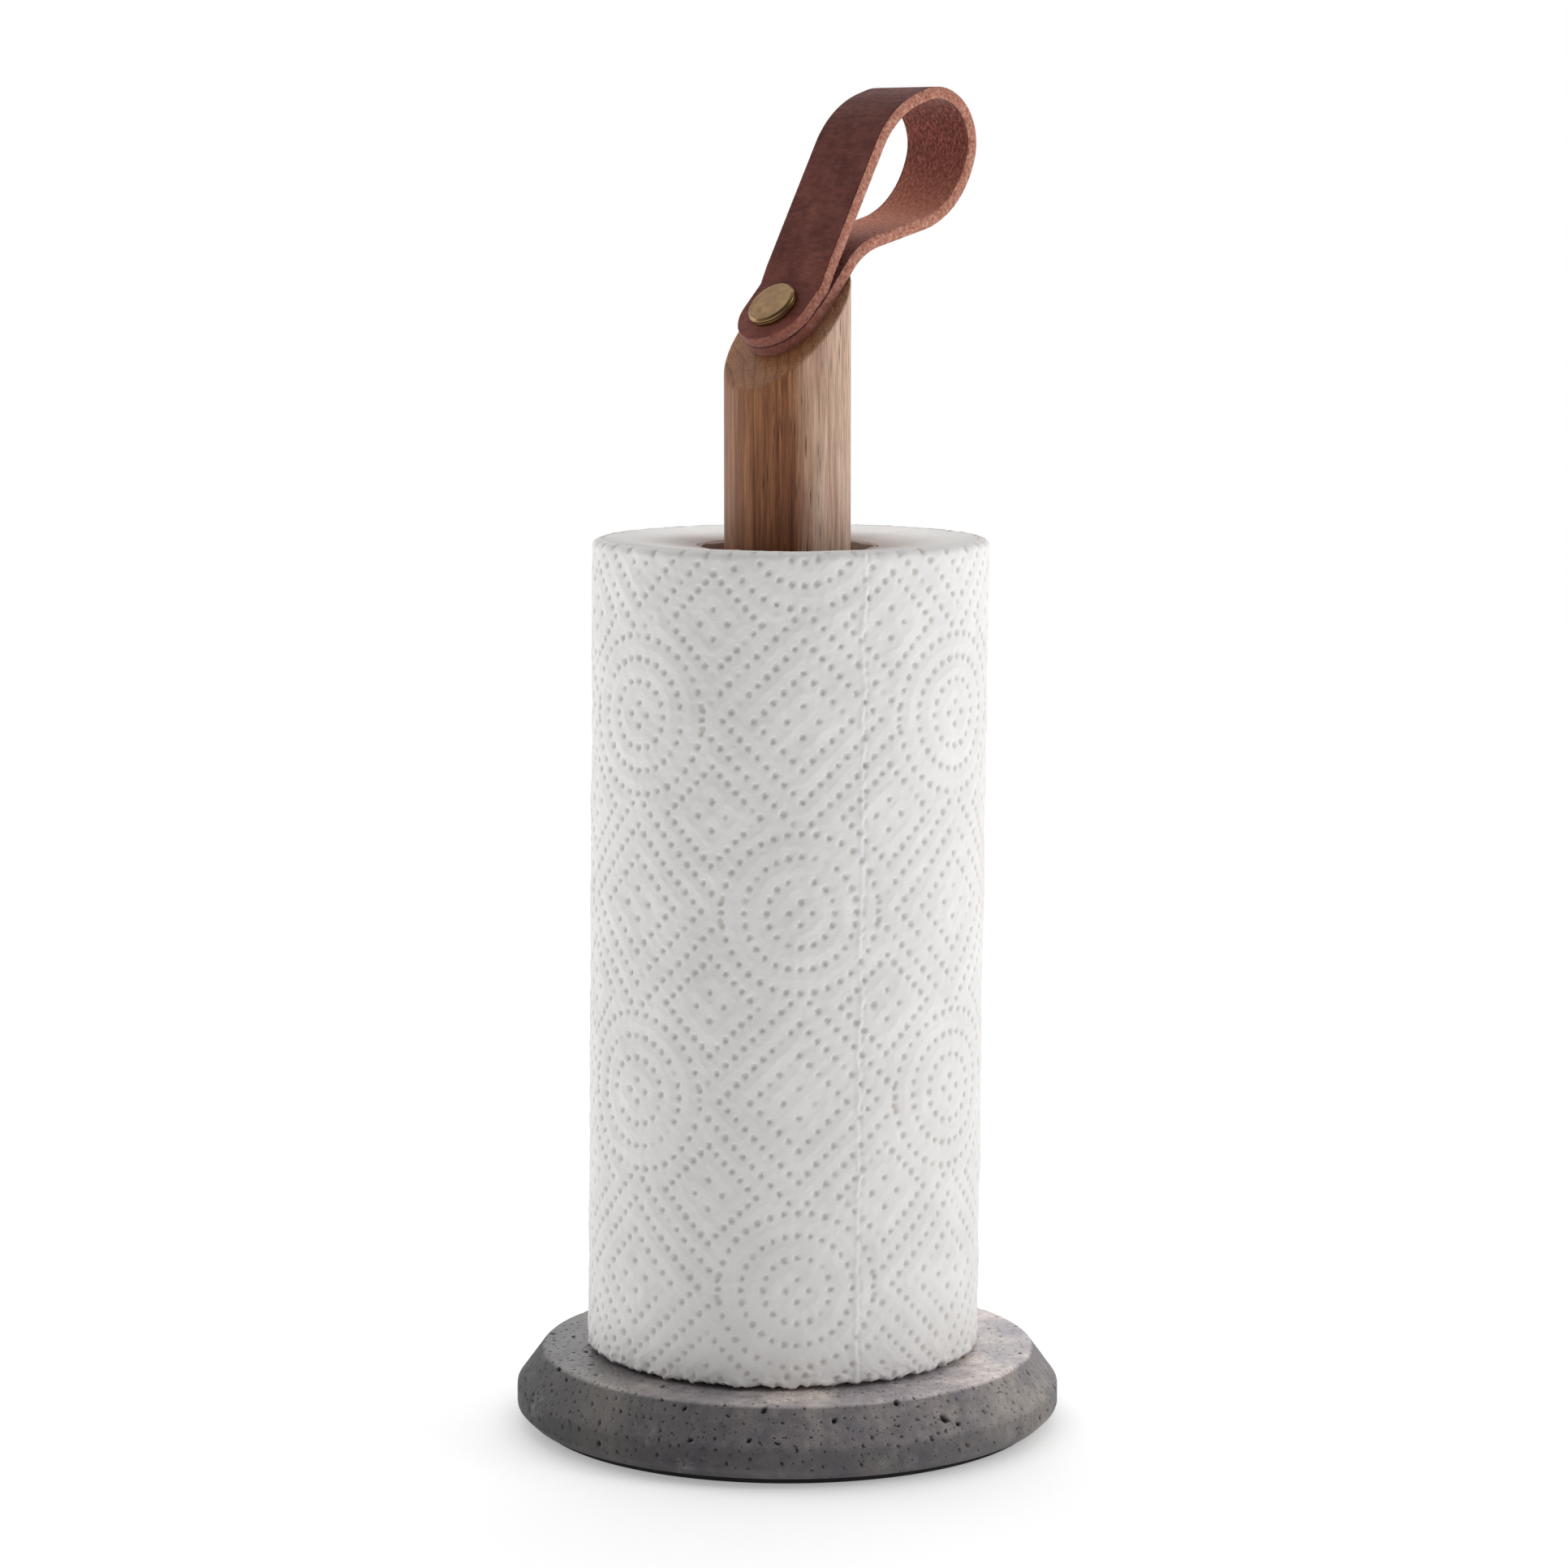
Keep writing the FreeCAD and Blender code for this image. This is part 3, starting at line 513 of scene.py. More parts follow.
def grey_board():
    """Recycled core board, wound in a spiral and glued: grey-brown pulp with flecks and an overlapping seam."""
    material, tree, shader, place = new_material("recycled_core_board", Roughness=0.9, IOR=1.45)
    pulp = add(tree, NOISE, {"Vector": place, "Scale": 1 / 0.6, "Detail": 5.0, "Roughness": 0.75})
    clouds = add(tree, NOISE, {"Vector": place, "Scale": 1 / 8, "Detail": 3.0})
    tone = add(tree, RAMP, {"Fac": pulp}, [(0.28, "8d7f75"), (0.5, "b3a69c"), (0.72, "c6bbb2")])
    parts = add(tree, "ShaderNodeSeparateXYZ", {"Vector": place})
    turn = add(tree, MATH, {0: parts.outputs["Y"], 1: parts.outputs["X"]}, operation="ARCTAN2")
    # one turn of the strip climbs 78 mm
    climb = add(tree, MATH, {0: parts.outputs["Z"], 1: 1 / 78}, operation="MULTIPLY")
    helix = add(tree, MATH, {0: turn, 1: 0.5 / math.pi, 2: climb}, operation="MULTIPLY_ADD")
    phase = add(tree, MATH, {0: helix}, operation="FRACT")
    seam = add(tree, SPREAD, {"Value": phase, "From Min": 0.0, "From Max": 0.012, "To Min": 0.6, "To Max": 0.0})
    light = add(tree, SPREAD, {"Value": clouds, "From Min": 0.3, "From Max": 0.7, "To Min": 0.9, "To Max": 1.08})
    board = add(tree, "ShaderNodeVectorMath", {0: tone, "Scale": light}, operation="SCALE")
    colour = add(tree, MIX, {"Factor": seam, "A": board, "B": "54473f"}, data_type="RGBA")
    relief = add(tree, MATH, {0: phase, 1: 3.0, 2: pulp}, operation="MULTIPLY_ADD")
    bump = add(tree, "ShaderNodeBump", {"Height": relief, "Strength": 0.3, "Distance": 0.0002})
    wire(tree, shader, {"Base Color": colour, "Normal": bump})
    return material


def kitchen_tissue(name, embossed):
    """Two-ply kitchen tissue: soft white, matt, with felted fibres, fine crepe lines and embossed dots greyed partly
    by the glue between the plies and partly by painted shade.
    """
    material, tree, shader, place = new_material(name, Roughness=0.96, IOR=1.45)
    fibres = add(tree, NOISE, {"Vector": place, "Scale": 1 / 0.5, "Detail": 5.0, "Roughness": 0.7})
    crepe_place = add(tree, "ShaderNodeMapping", {"Vector": place, "Scale": (0.5, 0.5, 1.6)})
    crepe = add(tree, NOISE, {"Vector": crepe_place, "Scale": 1 / 0.9, "Detail": 3.0, "Roughness": 0.6})
    clouds = add(tree, NOISE, {"Vector": place, "Scale": 1 / 14, "Detail": 4.0})
    colour = add(tree, RAMP, {"Fac": clouds}, [(0.3, "e9e7e5"), (0.55, "efedeb"), (0.75, "f3f2f0")])
    if embossed:
        dot = add(tree, "ShaderNodeAttribute", attribute_name="dot").outputs["Fac"]
        # the dots' grey: partly the glue between the plies, partly painted shade in their hollows
        depth = add(tree, MATH, {0: dot, 1: 0.45}, operation="MULTIPLY")
        colour = add(tree, MIX, {"Factor": depth, "A": colour, "B": "b3a79c"}, data_type="RGBA")
    relief = add(tree, MATH, {0: crepe, 1: 0.8, 2: fibres}, operation="MULTIPLY_ADD")
    bump = add(tree, "ShaderNodeBump", {"Height": relief, "Strength": 0.35, "Distance": 0.00016})
    wire(tree, shader, {
        "Base Color": colour, "Normal": bump, "Specular IOR Level": 0.2,
        "Sheen Weight": 0.12, "Sheen Roughness": 0.6,
    })
    return material


concrete = cast_concrete()
walnut = oiled_walnut()
grain_side, cut_edge, flesh_side = leather_grain(), leather_edge(), leather_flesh()
brass = aged_brass()
steel = zinc_steel()
rubber = pad_rubber()
core_board = grey_board()
tissue = kitchen_tissue("embossed_kitchen_tissue", True)
tissue_ends = kitchen_tissue("wound_tissue_ends", False)


# ---------------------------------------------------------------- concrete foot

TOP_EDGE = 67.6
UNDERSIDE = 72.0
BASE_BOTTOM = base_low.z
FINE = 0.5
base_line = rounded_line(
    [
        (POST_RADIUS + 0.15, base_top - 3.0, 0, 1.5),
        (POST_RADIUS + 0.15, base_top, 0, 7.0),
        (50.0, base_top, 0, FINE),
        (TOP_EDGE, base_top, 1.6, FINE),
        (BASE_RADIUS, 10.7, 1.6, FINE),
        (BASE_RADIUS, 4.8, 1.6, 1.0),
        (UNDERSIDE, BASE_BOTTOM, 0, 3.0),
        (PAD_RADIUS, BASE_BOTTOM, 0, 60.0),
        (13.0, BASE_BOTTOM, 0, 9.0),
        (13.0, 10.5, 0, 9.0),
        (4.4, 10.5, 0, 9.0),
        (4.4, base_top - 3.0, 0, 15.0),
    ],
    FINE,
    closed=True,
)


def make_base():
    """The foot, with its air bubbles pressed into the mesh ring by ring so that their rims stay sharp."""
    columns = 960
    rows = len(base_line)
    chance = random.Random(41)
    at = np.stack(np.meshgrid(np.arange(rows, dtype=float), np.arange(columns, dtype=float), indexing="ij"), -1)
    sunk = np.zeros((rows, columns))
    cavity = np.zeros((rows, columns))
    taken = np.zeros((rows, columns), bool)
    shown = [i for i in range(rows) if 49 < base_line[i][0] and base_line[i][1] > 4.0]
    length = np.linalg.norm(np.roll(base_line, -1, 0) - base_line, axis=1)
    first, last = shown[0], shown[-1]

    def press(row, column, radius, depth):
        """One bubble: square rings of the grid are drawn into circles, and the inner ones sink."""
        row_step, column_step = length[row], 2 * math.pi * base_line[row][0] / columns
        rings = max(1, round(radius / 0.5))
        block = [
            (di, dj) for di in range(-rings - 1, rings + 2) for dj in range(-rings - 1, rings + 2)
        ]
        if row - rings - 1 < first or row + rings + 1 > last:
            return
        if any(taken[row + di, (column + dj) % columns] for di, dj in block):
            return
        long_way, turn = chance.uniform(1.0, 1.8), chance.uniform(0, math.pi)
        uneven = [chance.uniform(0.68, 1.2) for _ in range(8)]
        for di, dj in block:
            ring = max(abs(di), abs(dj))
            taken[row + di, (column + dj) % columns] = True
            if ring > rings:
                continue
            share = ring / rings
            bearing = math.atan2(di, dj)
            reach = radius * share * uneven[int((bearing / math.tau + 1) * 8) % 8]
            along, across = math.cos(bearing - turn) * reach * long_way, math.sin(bearing - turn) * reach
            u = along * math.cos(turn) - across * math.sin(turn)
            v = along * math.sin(turn) + across * math.cos(turn)
            at[row + di, (column + dj) % columns] = (row + v / row_step, column + u / column_step)
            sunk[row + di, (column + dj) % columns] = depth * (1 - share**2)
            # the pit mask, with which the concrete paints the bubbles near black as painted shade
            cavity[row + di, (column + dj) % columns] = 1 - share**4

    for _ in range(110000):
        row, column = chance.randint(first, last), chance.randint(0, columns - 1)
        facing = (math.tau * column / columns - VIEW_ANGLE + math.pi) % math.tau - math.pi
        height = base_line[row][1]
        steep = 10.0 < height < base_top - 0.2
        crowd = noise.noise(Vector((math.cos(facing) * 3, math.sin(facing) * 3, height / 6))) * 0.5 + 0.5
        right = 0.5 + 0.5 * math.cos(facing - math.radians(38))
        keep = (0.25 + 0.9 * right**2) * crowd * (1.5 if steep else 0.75 if height > 12 else 0.12)
        if chance.random() > keep:
            continue
        size = min(0.9, 0.2 * math.exp(abs(chance.gauss(0, 0.7))))
        if steep and right > 0.6 and chance.random() < 0.2:
            size *= 1.8
        press(row, column, size, size * chance.uniform(1.2, 2.0))

    index = np.arange(rows + 1)
    padded = np.vstack([base_line, base_line[:1]])
    radius = np.interp(at[..., 0], index, padded[:, 0])
    height = np.interp(at[..., 0], index, padded[:, 1])
    along = np.roll(base_line, -1, 0) - np.roll(base_line, 1, 0)
    outward = np.stack([-along[:, 1], along[:, 0]], -1)
    outward /= np.linalg.norm(outward, axis=1)[:, None]
    angle = at[..., 1] * math.tau / columns
    dent = np.zeros((rows, columns))
    for i in range(first, last + 1):
        r, z = base_line[i]
        edge = max(0.0, 1 - abs(z - base_top) / 1.2) * max(0.0, 1 - abs(r - TOP_EDGE) / 1.6)
        edge += max(0.0, 1 - abs(z - 10.7) / 1.6)
        for j in range(columns):
            a = math.tau * j / columns
            spot = Vector((r * math.cos(a), r * math.sin(a), z))
            dent[i, j] = 0.05 * (1 + noise.noise(spot / 7))
            if edge:
                dent[i, j] += edge * max(0.0, noise.noise(spot / 2.1) - 0.28) * 1.1
    # the two halves of the mould met on a line that wanders along the rim
    mould = 8.9 + 1.3 * np.cos(angle - VIEW_ANGLE + 1.1)
    seam = np.exp(-(((height - mould) / 0.28) ** 2)) * (radius > BASE_RADIUS - 0.8)
    dent += 0.14 * seam * (0.6 + 0.4 * np.cos(3 * angle))
    sunk = sunk + np.where(base_line[:, None, 0] > 49, dent, 0)
    radius = radius - sunk * outward[:, None, 0]
    height = height - sunk * outward[:, None, 1]
    points = np.stack([radius * np.cos(angle), radius * np.sin(angle), height], -1)
    return make_piece(
        "concrete_foot", points, wrapped_quads(rows, columns, True), [concrete], {"pit": cavity.ravel()}
    )


foot = make_base()
fit(foot, "holder", "concrete", "concrete_base")


# ---------------------------------------------------------------- wooden post


def make_post():
    """The post: an upright wall, an eased edge, the slanted cut, and the bores for the stud and the bolt."""
    columns = 288
    ease, stud, bore = 0.6, 2.05, 6.0
    angle = np.arange(columns) * math.tau / columns
    x, y = np.cos(angle), np.sin(angle)
    bottom = post_low.z
    rings, grain = [], []

    def ring(px, py, pz, cut):
        rings.append(np.stack([px, py, pz + 0 * px], -1))
        grain.append(np.full(columns, cut))

    ring(bore * x, bore * y, bottom + 20.6, 1.0)
    ring(bore * x, bore * y, bottom, 1.0)
    ring((POST_RADIUS - 0.5) * x, (POST_RADIUS - 0.5) * y, bottom, 0.0)
    ring(POST_RADIUS * x, POST_RADIUS * y, bottom + 0.5, 0.0)
    top = SLANT_HEIGHT + POST_RADIUS * x
    for share in np.linspace(0.03, 1, 70):
        ring(POST_RADIUS * x, POST_RADIUS * y, bottom + (top - ease * 1.6 - bottom) * share, 0.0)
    for turn in (0.25, 0.5, 0.75):
        r = POST_RADIUS - ease * (1 - math.cos(turn * math.pi / 2))
        ring(r * x, r * y, SLANT_HEIGHT + r * x - ease * 1.6 * (1 - math.sin(turn * math.pi / 2)), turn)
    for share in np.linspace(1, 0, 44)[:-1]:
        r = stud + (POST_RADIUS - ease - stud) * share
        px, py = r * x, r * y
        if share < 0.08:
            blend = 1 - share / 0.08
            px = px + (stud * SLANT * x - px) * blend
        ring(px, py, SLANT_HEIGHT + px, 1.0)
    rings.append(on_slant(stud * x, stud * y, 0.0 * x))
    rings.append(on_slant(stud * x, stud * y, -STUD_DEPTH + 0.0 * x))
    grain.extend([np.ones(columns)] * 2)
    points = np.stack(rings)
    rows = len(rings)
    # the sander left the slant very slightly uneven
    for i in range(rows - 46, rows - 2):
        for j in range(0, columns):
            points[i, j, 2] -= 0.05 * (1 + noise.noise(Vector(points[i, j]) / 3))
    faces = wrapped_quads(rows, columns, False)
    faces.append(list(range(columns)))
    faces.append([(rows - 1) * columns + j for j in range(columns)])
    return make_piece("wooden_post", points, faces, [walnut], {"end_grain": np.concatenate(grain)})


post = make_post()
fit(post, "holder", "post_wood", "post")


# ---------------------------------------------------------------- leather strap

STRAP_WIDTH, STRAP_THICK = 24.0, 3.3
STRAP_LINE = [
    (-12.0, 1.65), (9.9, 1.65, 20.0), (26.5, 3.0, 20.8), (60.05, -17.0, 26.7), (84.7, -6.0, 13.4),
    (79.0, 11.0, 13.4), (61.6, 20.1, 27.8), (14.0, 6.9, 11.9), (8.9, 5.1, 5.0), (-12.0, 5.1),
]
strap_way = rounded_line(STRAP_LINE, 0.1)
strap_run = np.concatenate([[0], np.cumsum(np.linalg.norm(np.diff(strap_way, axis=0), axis=1))])
strap_side = np.gradient(strap_way, axis=0)
strap_side = np.stack([strap_side[:, 1], -strap_side[:, 0]], -1)
strap_side /= np.linalg.norm(strap_side, axis=1)[:, None]
STRAP_LENGTH = strap_run[-1]


def strap_section(across, through):
    """Points round the strap's section: (share of half width, height from the middle, inset, side)."""
    half, soft = STRAP_THICK / 2, 0.42
    section = [(f, half, soft, 0) for f in np.linspace(-1, 1, across)]
    for k in range(1, through):
        h = half * math.cos(math.pi * k / through)
        section.append((1.0, h, soft * abs(h / half) ** 4, 1))
    section += [(f, -half, soft, 2) for f in np.linspace(1, -1, across)]
    for k in range(1, through):
        h = -half * math.cos(math.pi * k / through)
        section.append((-1.0, h, soft * abs(h / half) ** 4, 1))
    return section


def make_strap():
    """The strap: one band of leather folded over, round at both ends, grain side out."""
    half_width = STRAP_WIDTH / 2
    section = strap_section(48, 9)
    share, rise, inset, side = (np.array(c, float) for c in zip(*section))
    end_turns = np.linspace(0, math.pi / 2, 26)
    rows = [(half_width, -math.cos(b), math.sin(b)) for b in end_turns]
    inner = np.arange(half_width, STRAP_LENGTH - half_width, 0.5)[1:-1]
    rows += [(t, 0.0, 1.0) for t in inner]
    rows += [(STRAP_LENGTH - half_width, math.cos(b), math.sin(b)) for b in end_turns[::-1]]
    start, pull, wide = (np.array(c)[:, None] for c in zip(*rows))
    along = start + pull * (half_width - inset)
    y = share * wide * (half_width - inset)
    s = np.interp(along, strap_run, strap_way[:, 0])
    d = np.interp(along, strap_run, strap_way[:, 1])
    side_s = np.interp(along, strap_run, strap_side[:, 0])
    side_d = np.interp(along, strap_run, strap_side[:, 1])
    through = rise + 0 * along
    edge = (side == 1)[None, :] & (wide > 0)
    # raw edges and the flesh side are never quite flat; the leather only ever gives way inwards
    for i in range(along.shape[0]):
        for j in range(along.shape[1]):
            if side[j] == 0:
                continue
            spot = Vector((along[i, j], y[i, j], through[i, j]))
            if side[j] == 2:
                through[i, j] += 0.07 * (1 + noise.noise(spot / 0.9)) + 0.05 * (1 + noise.noise(spot / 4))
            elif edge[i, j]:
                bite = 0.09 * (1 + noise.noise(spot / 0.7)) + 0.06 * (1 + noise.noise(spot / 2.6))
                y[i, j] -= math.copysign(bite, share[j]) * wide[i, 0]
                along[i, j] -= pull[i, 0] * bite
    s += side_s * through
    d += side_d * through
    points = on_slant(s, y, d)
    # a mask near the strap's ends at the screw, weaker on the upper leg: painted light on the grain side, and partly
    # painted shade, partly a darker dye on the raw edge
    turn = np.minimum(along, STRAP_LENGTH - along)
    near_screw_shading_and_dye = np.clip(1 - (turn - 6) / 34, 0, 1) ** 1.2
    lower = along < STRAP_LENGTH / 2
    near_screw_shading_and_dye = np.where(lower, near_screw_shading_and_dye, near_screw_shading_and_dye * 0.75)
    rows_count, columns = along.shape
    faces = wrapped_quads(rows_count, columns, False)
    nearest = np.round(side).astype(int)
    face_side = np.where(nearest == np.roll(nearest, -1), nearest, 1)
    sides = face_side.tolist() * (rows_count - 1)
    layers = {
        "hide": np.stack([along, y, through], -1).reshape(-1, 3),
        "near_screw_shading_and_dye": near_screw_shading_and_dye.ravel(),
        # the band where the legs part, which the flesh side paints lighter and pinker as painted light and sheen
        "raised": (0.85 * np.exp(-(((along - 62) / 20) ** 2))).ravel(),
    }
    piece = make_piece("leather_strap", points, faces, [grain_side, cut_edge, flesh_side], layers, sides)
    drill = rounded_line([(0, -3.0), (3.08, -3.0), (3.08, 9.0), (0, 9.0)], 3.0)
    pin, quads = turned(drill, 40, closed=False)
    cutter = make_piece("drill", on_slant(pin[..., 0], pin[..., 1], pin[..., 2]), quads, [cut_edge])
    hole = piece.modifiers.new("hole", "BOOLEAN")
    hole.object, hole.operation, hole.solver = cutter, "DIFFERENCE", "EXACT"
    hole.material_mode = "TRANSFER"
    graph = bpy.context.evaluated_depsgraph_get()
    mesh = bpy.data.meshes.new_from_object(
        piece.evaluated_get(graph), preserve_all_data_layers=True, depsgraph=graph
    )
    piece.modifiers.remove(hole)
    piece.data = mesh
    bpy.data.objects.remove(cutter)
    return piece


strap = make_strap()
fit(strap, "strap_loop", "strap_leather", "strap")


FUZZ = {"Density": 2.6, "Length": 0.55, "Thickness": 0.035}


def edge_fibres():
    """Loose fibres that stand off the strap's raw edges, each a thin cone of three sides."""
    tree, given = new_tree("edge_fibres", FUZZ)
    raw = add(tree, "GeometryNodeInputNamedAttribute", {"Name": "raw"}, data_type="FLOAT")
    many = add(tree, MATH, {0: raw, 1: given["Density"]}, operation="MULTIPLY")
    roots = add(tree, "GeometryNodeDistributePointsOnFaces", {
        "Mesh": given["Geometry"], "Density": many, "Seed": 5
    })
    hair = add(tree, "GeometryNodeMeshCone", {
        "Vertices": 3, "Side Segments": 1, "Radius Top": 0.0,
        "Radius Bottom": given["Thickness"], "Depth": given["Length"],
    })
    tilt = add(tree, "FunctionNodeRandomValue", {
        0: (-1.1, -1.1, -3.1), 1: (1.1, 1.1, 3.1), "Seed": 2
    }, data_type="FLOAT_VECTOR")
    stand = add(tree, "FunctionNodeAlignRotationToVector", {"Vector": roots.outputs["Normal"]}, axis="Z")
    leaning = add(tree, "FunctionNodeRotateRotation", {
        "Rotation": stand, "Rotate By": tilt
    }, rotation_space="LOCAL")
    big = add(tree, "FunctionNodeRandomValue", {"Min": 0.4, "Max": 1.3, "Seed": 9}, data_type="FLOAT")
    hairs = add(tree, "GeometryNodeInstanceOnPoints", {
        "Points": roots.outputs["Points"], "Instance": hair, "Rotation": leaning, "Scale": big
    })
    whole = add(tree, "GeometryNodeRealizeInstances", {"Geometry": hairs})
    coated = add(tree, "GeometryNodeSetMaterial", {"Geometry": whole, "Material": cut_edge})
    add(tree, "NodeGroupOutput", {0: coated})
    return tree


def make_fuzz():
    """The fibres on both edges of the strap, one piece that moves with it."""
    source = strap.data.copy()
    source.transform(Matrix.Scale(1 / MM, 4))
    raw = source.attributes.new("raw", "FLOAT", "FACE")
    raw.data.foreach_set("value", [float(p.material_index == 1) for p in source.polygons])
    mesh = grow(edge_fibres(), FUZZ, source)
    mesh.transform(Matrix.Scale(MM, 4))
    fuzz = bpy.data.objects.new("strap_edge_fibres", mesh)
    bpy.context.scene.collection.objects.link(fuzz)
    fit(fuzz, "strap_loop", "strap_leather")


make_fuzz()


# ---------------------------------------------------------------- brass screw and ring


def make_brass(name, corners, node, closed):
    """A turned brass part that stands square on the slant."""
    grid, quads = turned(rounded_line(corners, 0.12, closed), 160, closed)
    piece = make_piece(name, on_slant(grid[..., 0], grid[..., 1], grid[..., 2]), quads, [brass])
    fit(piece, "holder", "screw_brass", node)


make_brass(
    "brass_screw_cap",
    [
        (0.0, 9.25, 0, 0.5), (6.6, 9.25, 0.08), (7.12, 8.78, 0.12), (7.25, 8.5, 0.1), (7.25, 8.0, 0.05),
        (7.0, 7.95, 0, 1.0), (3.0, 7.95, 0, 2.0), (3.0, 0.5, 0, 1.0), (2.1, 0.5, 0, 2.0),
        (2.1, 7.2, 0, 1.0), (0.0, 7.2),
    ],
    "strap_cap",
    False,
)
make_brass(
    "brass_ring",
    [
        (3.2, 6.75, 0, 1.0), (6.95, 6.75, 0.1), (7.1, 6.95, 0.1), (7.1, 7.7, 0.15),
        (6.9, 7.95, 0.1, 1.0), (3.2, 7.95, 0, 1.0),
    ],
    "strap_washer",
    True,
)


# ---------------------------------------------------------------- roll core


def make_core():
    """The cardboard tube: its rims are softened, and a little frayed at the top."""
    inner = CORE_RADIUS - 1.2
    low, high = core_low.z, core_high.z - 2.4
    line = rounded_line(
        [
            (inner, low, 0.3, 6.0), (inner, high, 0.4, 0.4), (CORE_RADIUS, high, 0.4, 6.0),
            (CORE_RADIUS, low, 0.3, 0.6),
        ][::-1],
        0.3,
        closed=True,
    )
    points, faces = turned(line, 200)
    for i in range(points.shape[0]):
        for j in range(points.shape[1]):
            spot = Vector(points[i, j])
            if points[i, j, 2] > high - 14:
                fray = (points[i, j, 2] - high + 14) / 14
                points[i, j, 2] += fray**4 * 0.5 * noise.noise(Vector((spot.x / 7, spot.y / 7, 9)))
                bend = 0.5 * fray**2 * noise.noise(Vector((spot.x / 6, spot.y / 6, 3)))
                points[i, j, :2] *= 1 - (0.01 + bend / CORE_RADIUS) * fray
    piece = make_piece("cardboard_core", points, faces, [core_board])
    fit(piece, "roll_tube", "core_board", "roll_core")


make_core()


# ---------------------------------------------------------------- paper roll

PAPER = {
    "Length": math.tau * ROLL_RADIUS,
    "Height": roll_high.z - roll_low.z,
    "Cell": 0.53,
    "Column Step": 48.3,
    "Row Step": 50.7,
    "Column Place": 39.3,
    "Row Place": 16.95,
    "Dot Radius": 0.9,
    "Dot Depth": 0.55,
    "Radius": ROLL_RADIUS + 0.1,
    "Start Angle": VIEW_ANGLE + math.radians(141.7),
    "Tail Step": 0.5,
    "Perforation": 56.35,
    "Edge Round": 2.4,
}
SHEET_THICK = 1.4


def embossed_paper():
    """A sheet of kitchen paper: a fine grid, dots pressed into it in rings and diamonds, rolled up."""
    tree, given = new_tree("embossed_paper", PAPER)
    across = add(tree, MATH, {0: given["Length"], 1: given["Cell"]}, operation="DIVIDE")
    up = add(tree, MATH, {0: given["Height"], 1: given["Cell"]}, operation="DIVIDE")
    sheet = add(tree, "GeometryNodeMeshGrid", {
        "Size X": given["Length"], "Size Y": given["Height"], "Vertices X": across, "Vertices Y": up
    }).outputs["Mesh"]

    place = add(tree, "GeometryNodeInputPosition")
    parts = add(tree, "ShaderNodeSeparateXYZ", {"Vector": place})
    size = add(tree, "ShaderNodeVectorMath", {0: place}, operation="ABSOLUTE")
    sizes = add(tree, "ShaderNodeSeparateXYZ", {"Vector": size})
    least = add(tree, MATH, {0: sizes.outputs["X"], 1: sizes.outputs["Y"]}, operation="MINIMUM")
    corner = add(tree, MATH, {0: least, 1: 0.5}, operation="LESS_THAN")
    # each figure is rings of dots (count, radius), then square frames of dots (per side, reach)
    figures = []
    for rings, frames in (
        ([(4, 3.0), (16, 8.97), (28, 15.0), (36, 21.2)], []),
        ([(4, 4.1)], [(5, 12.8), (9, 21.3), (12, 29.3)]),
        ([(4, 3.9)], [(6, 13.2)]),
    ):
        drawn = [
            add(tree, "GeometryNodeMeshCircle", {"Vertices": count, "Radius": radius})
            for count, radius in rings
        ]
        for per_side, radius in frames:
            square = add(tree, "GeometryNodeMeshCircle", {"Vertices": 4, "Radius": radius})
            edge = add(tree, "GeometryNodeMeshToCurve", {"Mesh": square})
            beads = add(tree, "GeometryNodeCurveToPoints", {"Curve": edge, "Count": 4 * per_side}, mode="COUNT")
            frame_dots = add(tree, "GeometryNodePointsToVertices", {"Points": beads})
            if per_side == 12:
                # the largest frame is open at its corners
                frame_dots = add(tree, "GeometryNodeDeleteGeometry", {"Geometry": frame_dots, "Selection": corner})
            drawn.append(frame_dots)
        figures.append(add(tree, "GeometryNodeJoinGeometry", {0: drawn}))
    medallion, large, small = figures

    # a lattice 10 wide and 7 high, medallions and large diamonds in turn like a chessboard
    wide = add(tree, MATH, {0: given["Column Step"], 1: 9.0}, operation="MULTIPLY")
    tall = add(tree, MATH, {0: given["Row Step"], 1: 6.0}, operation="MULTIPLY")
    lattice = add(tree, "GeometryNodeMeshGrid", {
        "Size X": wide, "Size Y": tall, "Vertices X": 10, "Vertices Y": 7
    }).outputs["Mesh"]
    column = add(tree, MATH, {0: parts.outputs["X"], 1: given["Column Step"]}, operation="DIVIDE")
    row = add(tree, MATH, {0: parts.outputs["Y"], 1: given["Row Step"]}, operation="DIVIDE")
    square = add(tree, MATH, {0: column, 1: row}, operation="ADD")
    shifted = add(tree, MATH, {0: square, 1: 7.75}, operation="ADD")
    parity = add(tree, MATH, {0: shifted, 1: 2.0}, operation="FLOORED_MODULO")
    even = add(tree, MATH, {0: parity, 1: 1.0}, operation="LESS_THAN")
    odd = add(tree, MATH, {0: 1.0, 1: even}, operation="SUBTRACT")
    first = add(tree, "GeometryNodeInstanceOnPoints", {"Points": lattice, "Selection": even, "Instance": medallion})
    second = add(tree, "GeometryNodeInstanceOnPoints", {"Points": lattice, "Selection": odd, "Instance": large})
    half = add(tree, "ShaderNodeCombineXYZ", {
        "X": add(tree, MATH, {0: given["Column Step"], 1: 0.5}, operation="MULTIPLY"),
        "Y": add(tree, MATH, {0: given["Row Step"], 1: 0.5}, operation="MULTIPLY"),
    })
    between = add(tree, "GeometryNodeTransform", {"Geometry": lattice, "Translation": half})
    third = add(tree, "GeometryNodeInstanceOnPoints", {"Points": between, "Instance": small})
    moved_x = add(tree, MATH, {0: given["Column Step"], 1: -0.5, 2: given["Column Place"]}, operation="MULTIPLY_ADD")
    home = add(tree, "ShaderNodeCombineXYZ", {"X": moved_x, "Y": given["Row Place"]})
    pattern = add(tree, "GeometryNodeTransform", {
        "Geometry": add(tree, "GeometryNodeJoinGeometry", {0: [first, second, third]}), "Translation": home
    })
    dots = add(tree, "GeometryNodeRealizeInstances", {"Geometry": pattern})

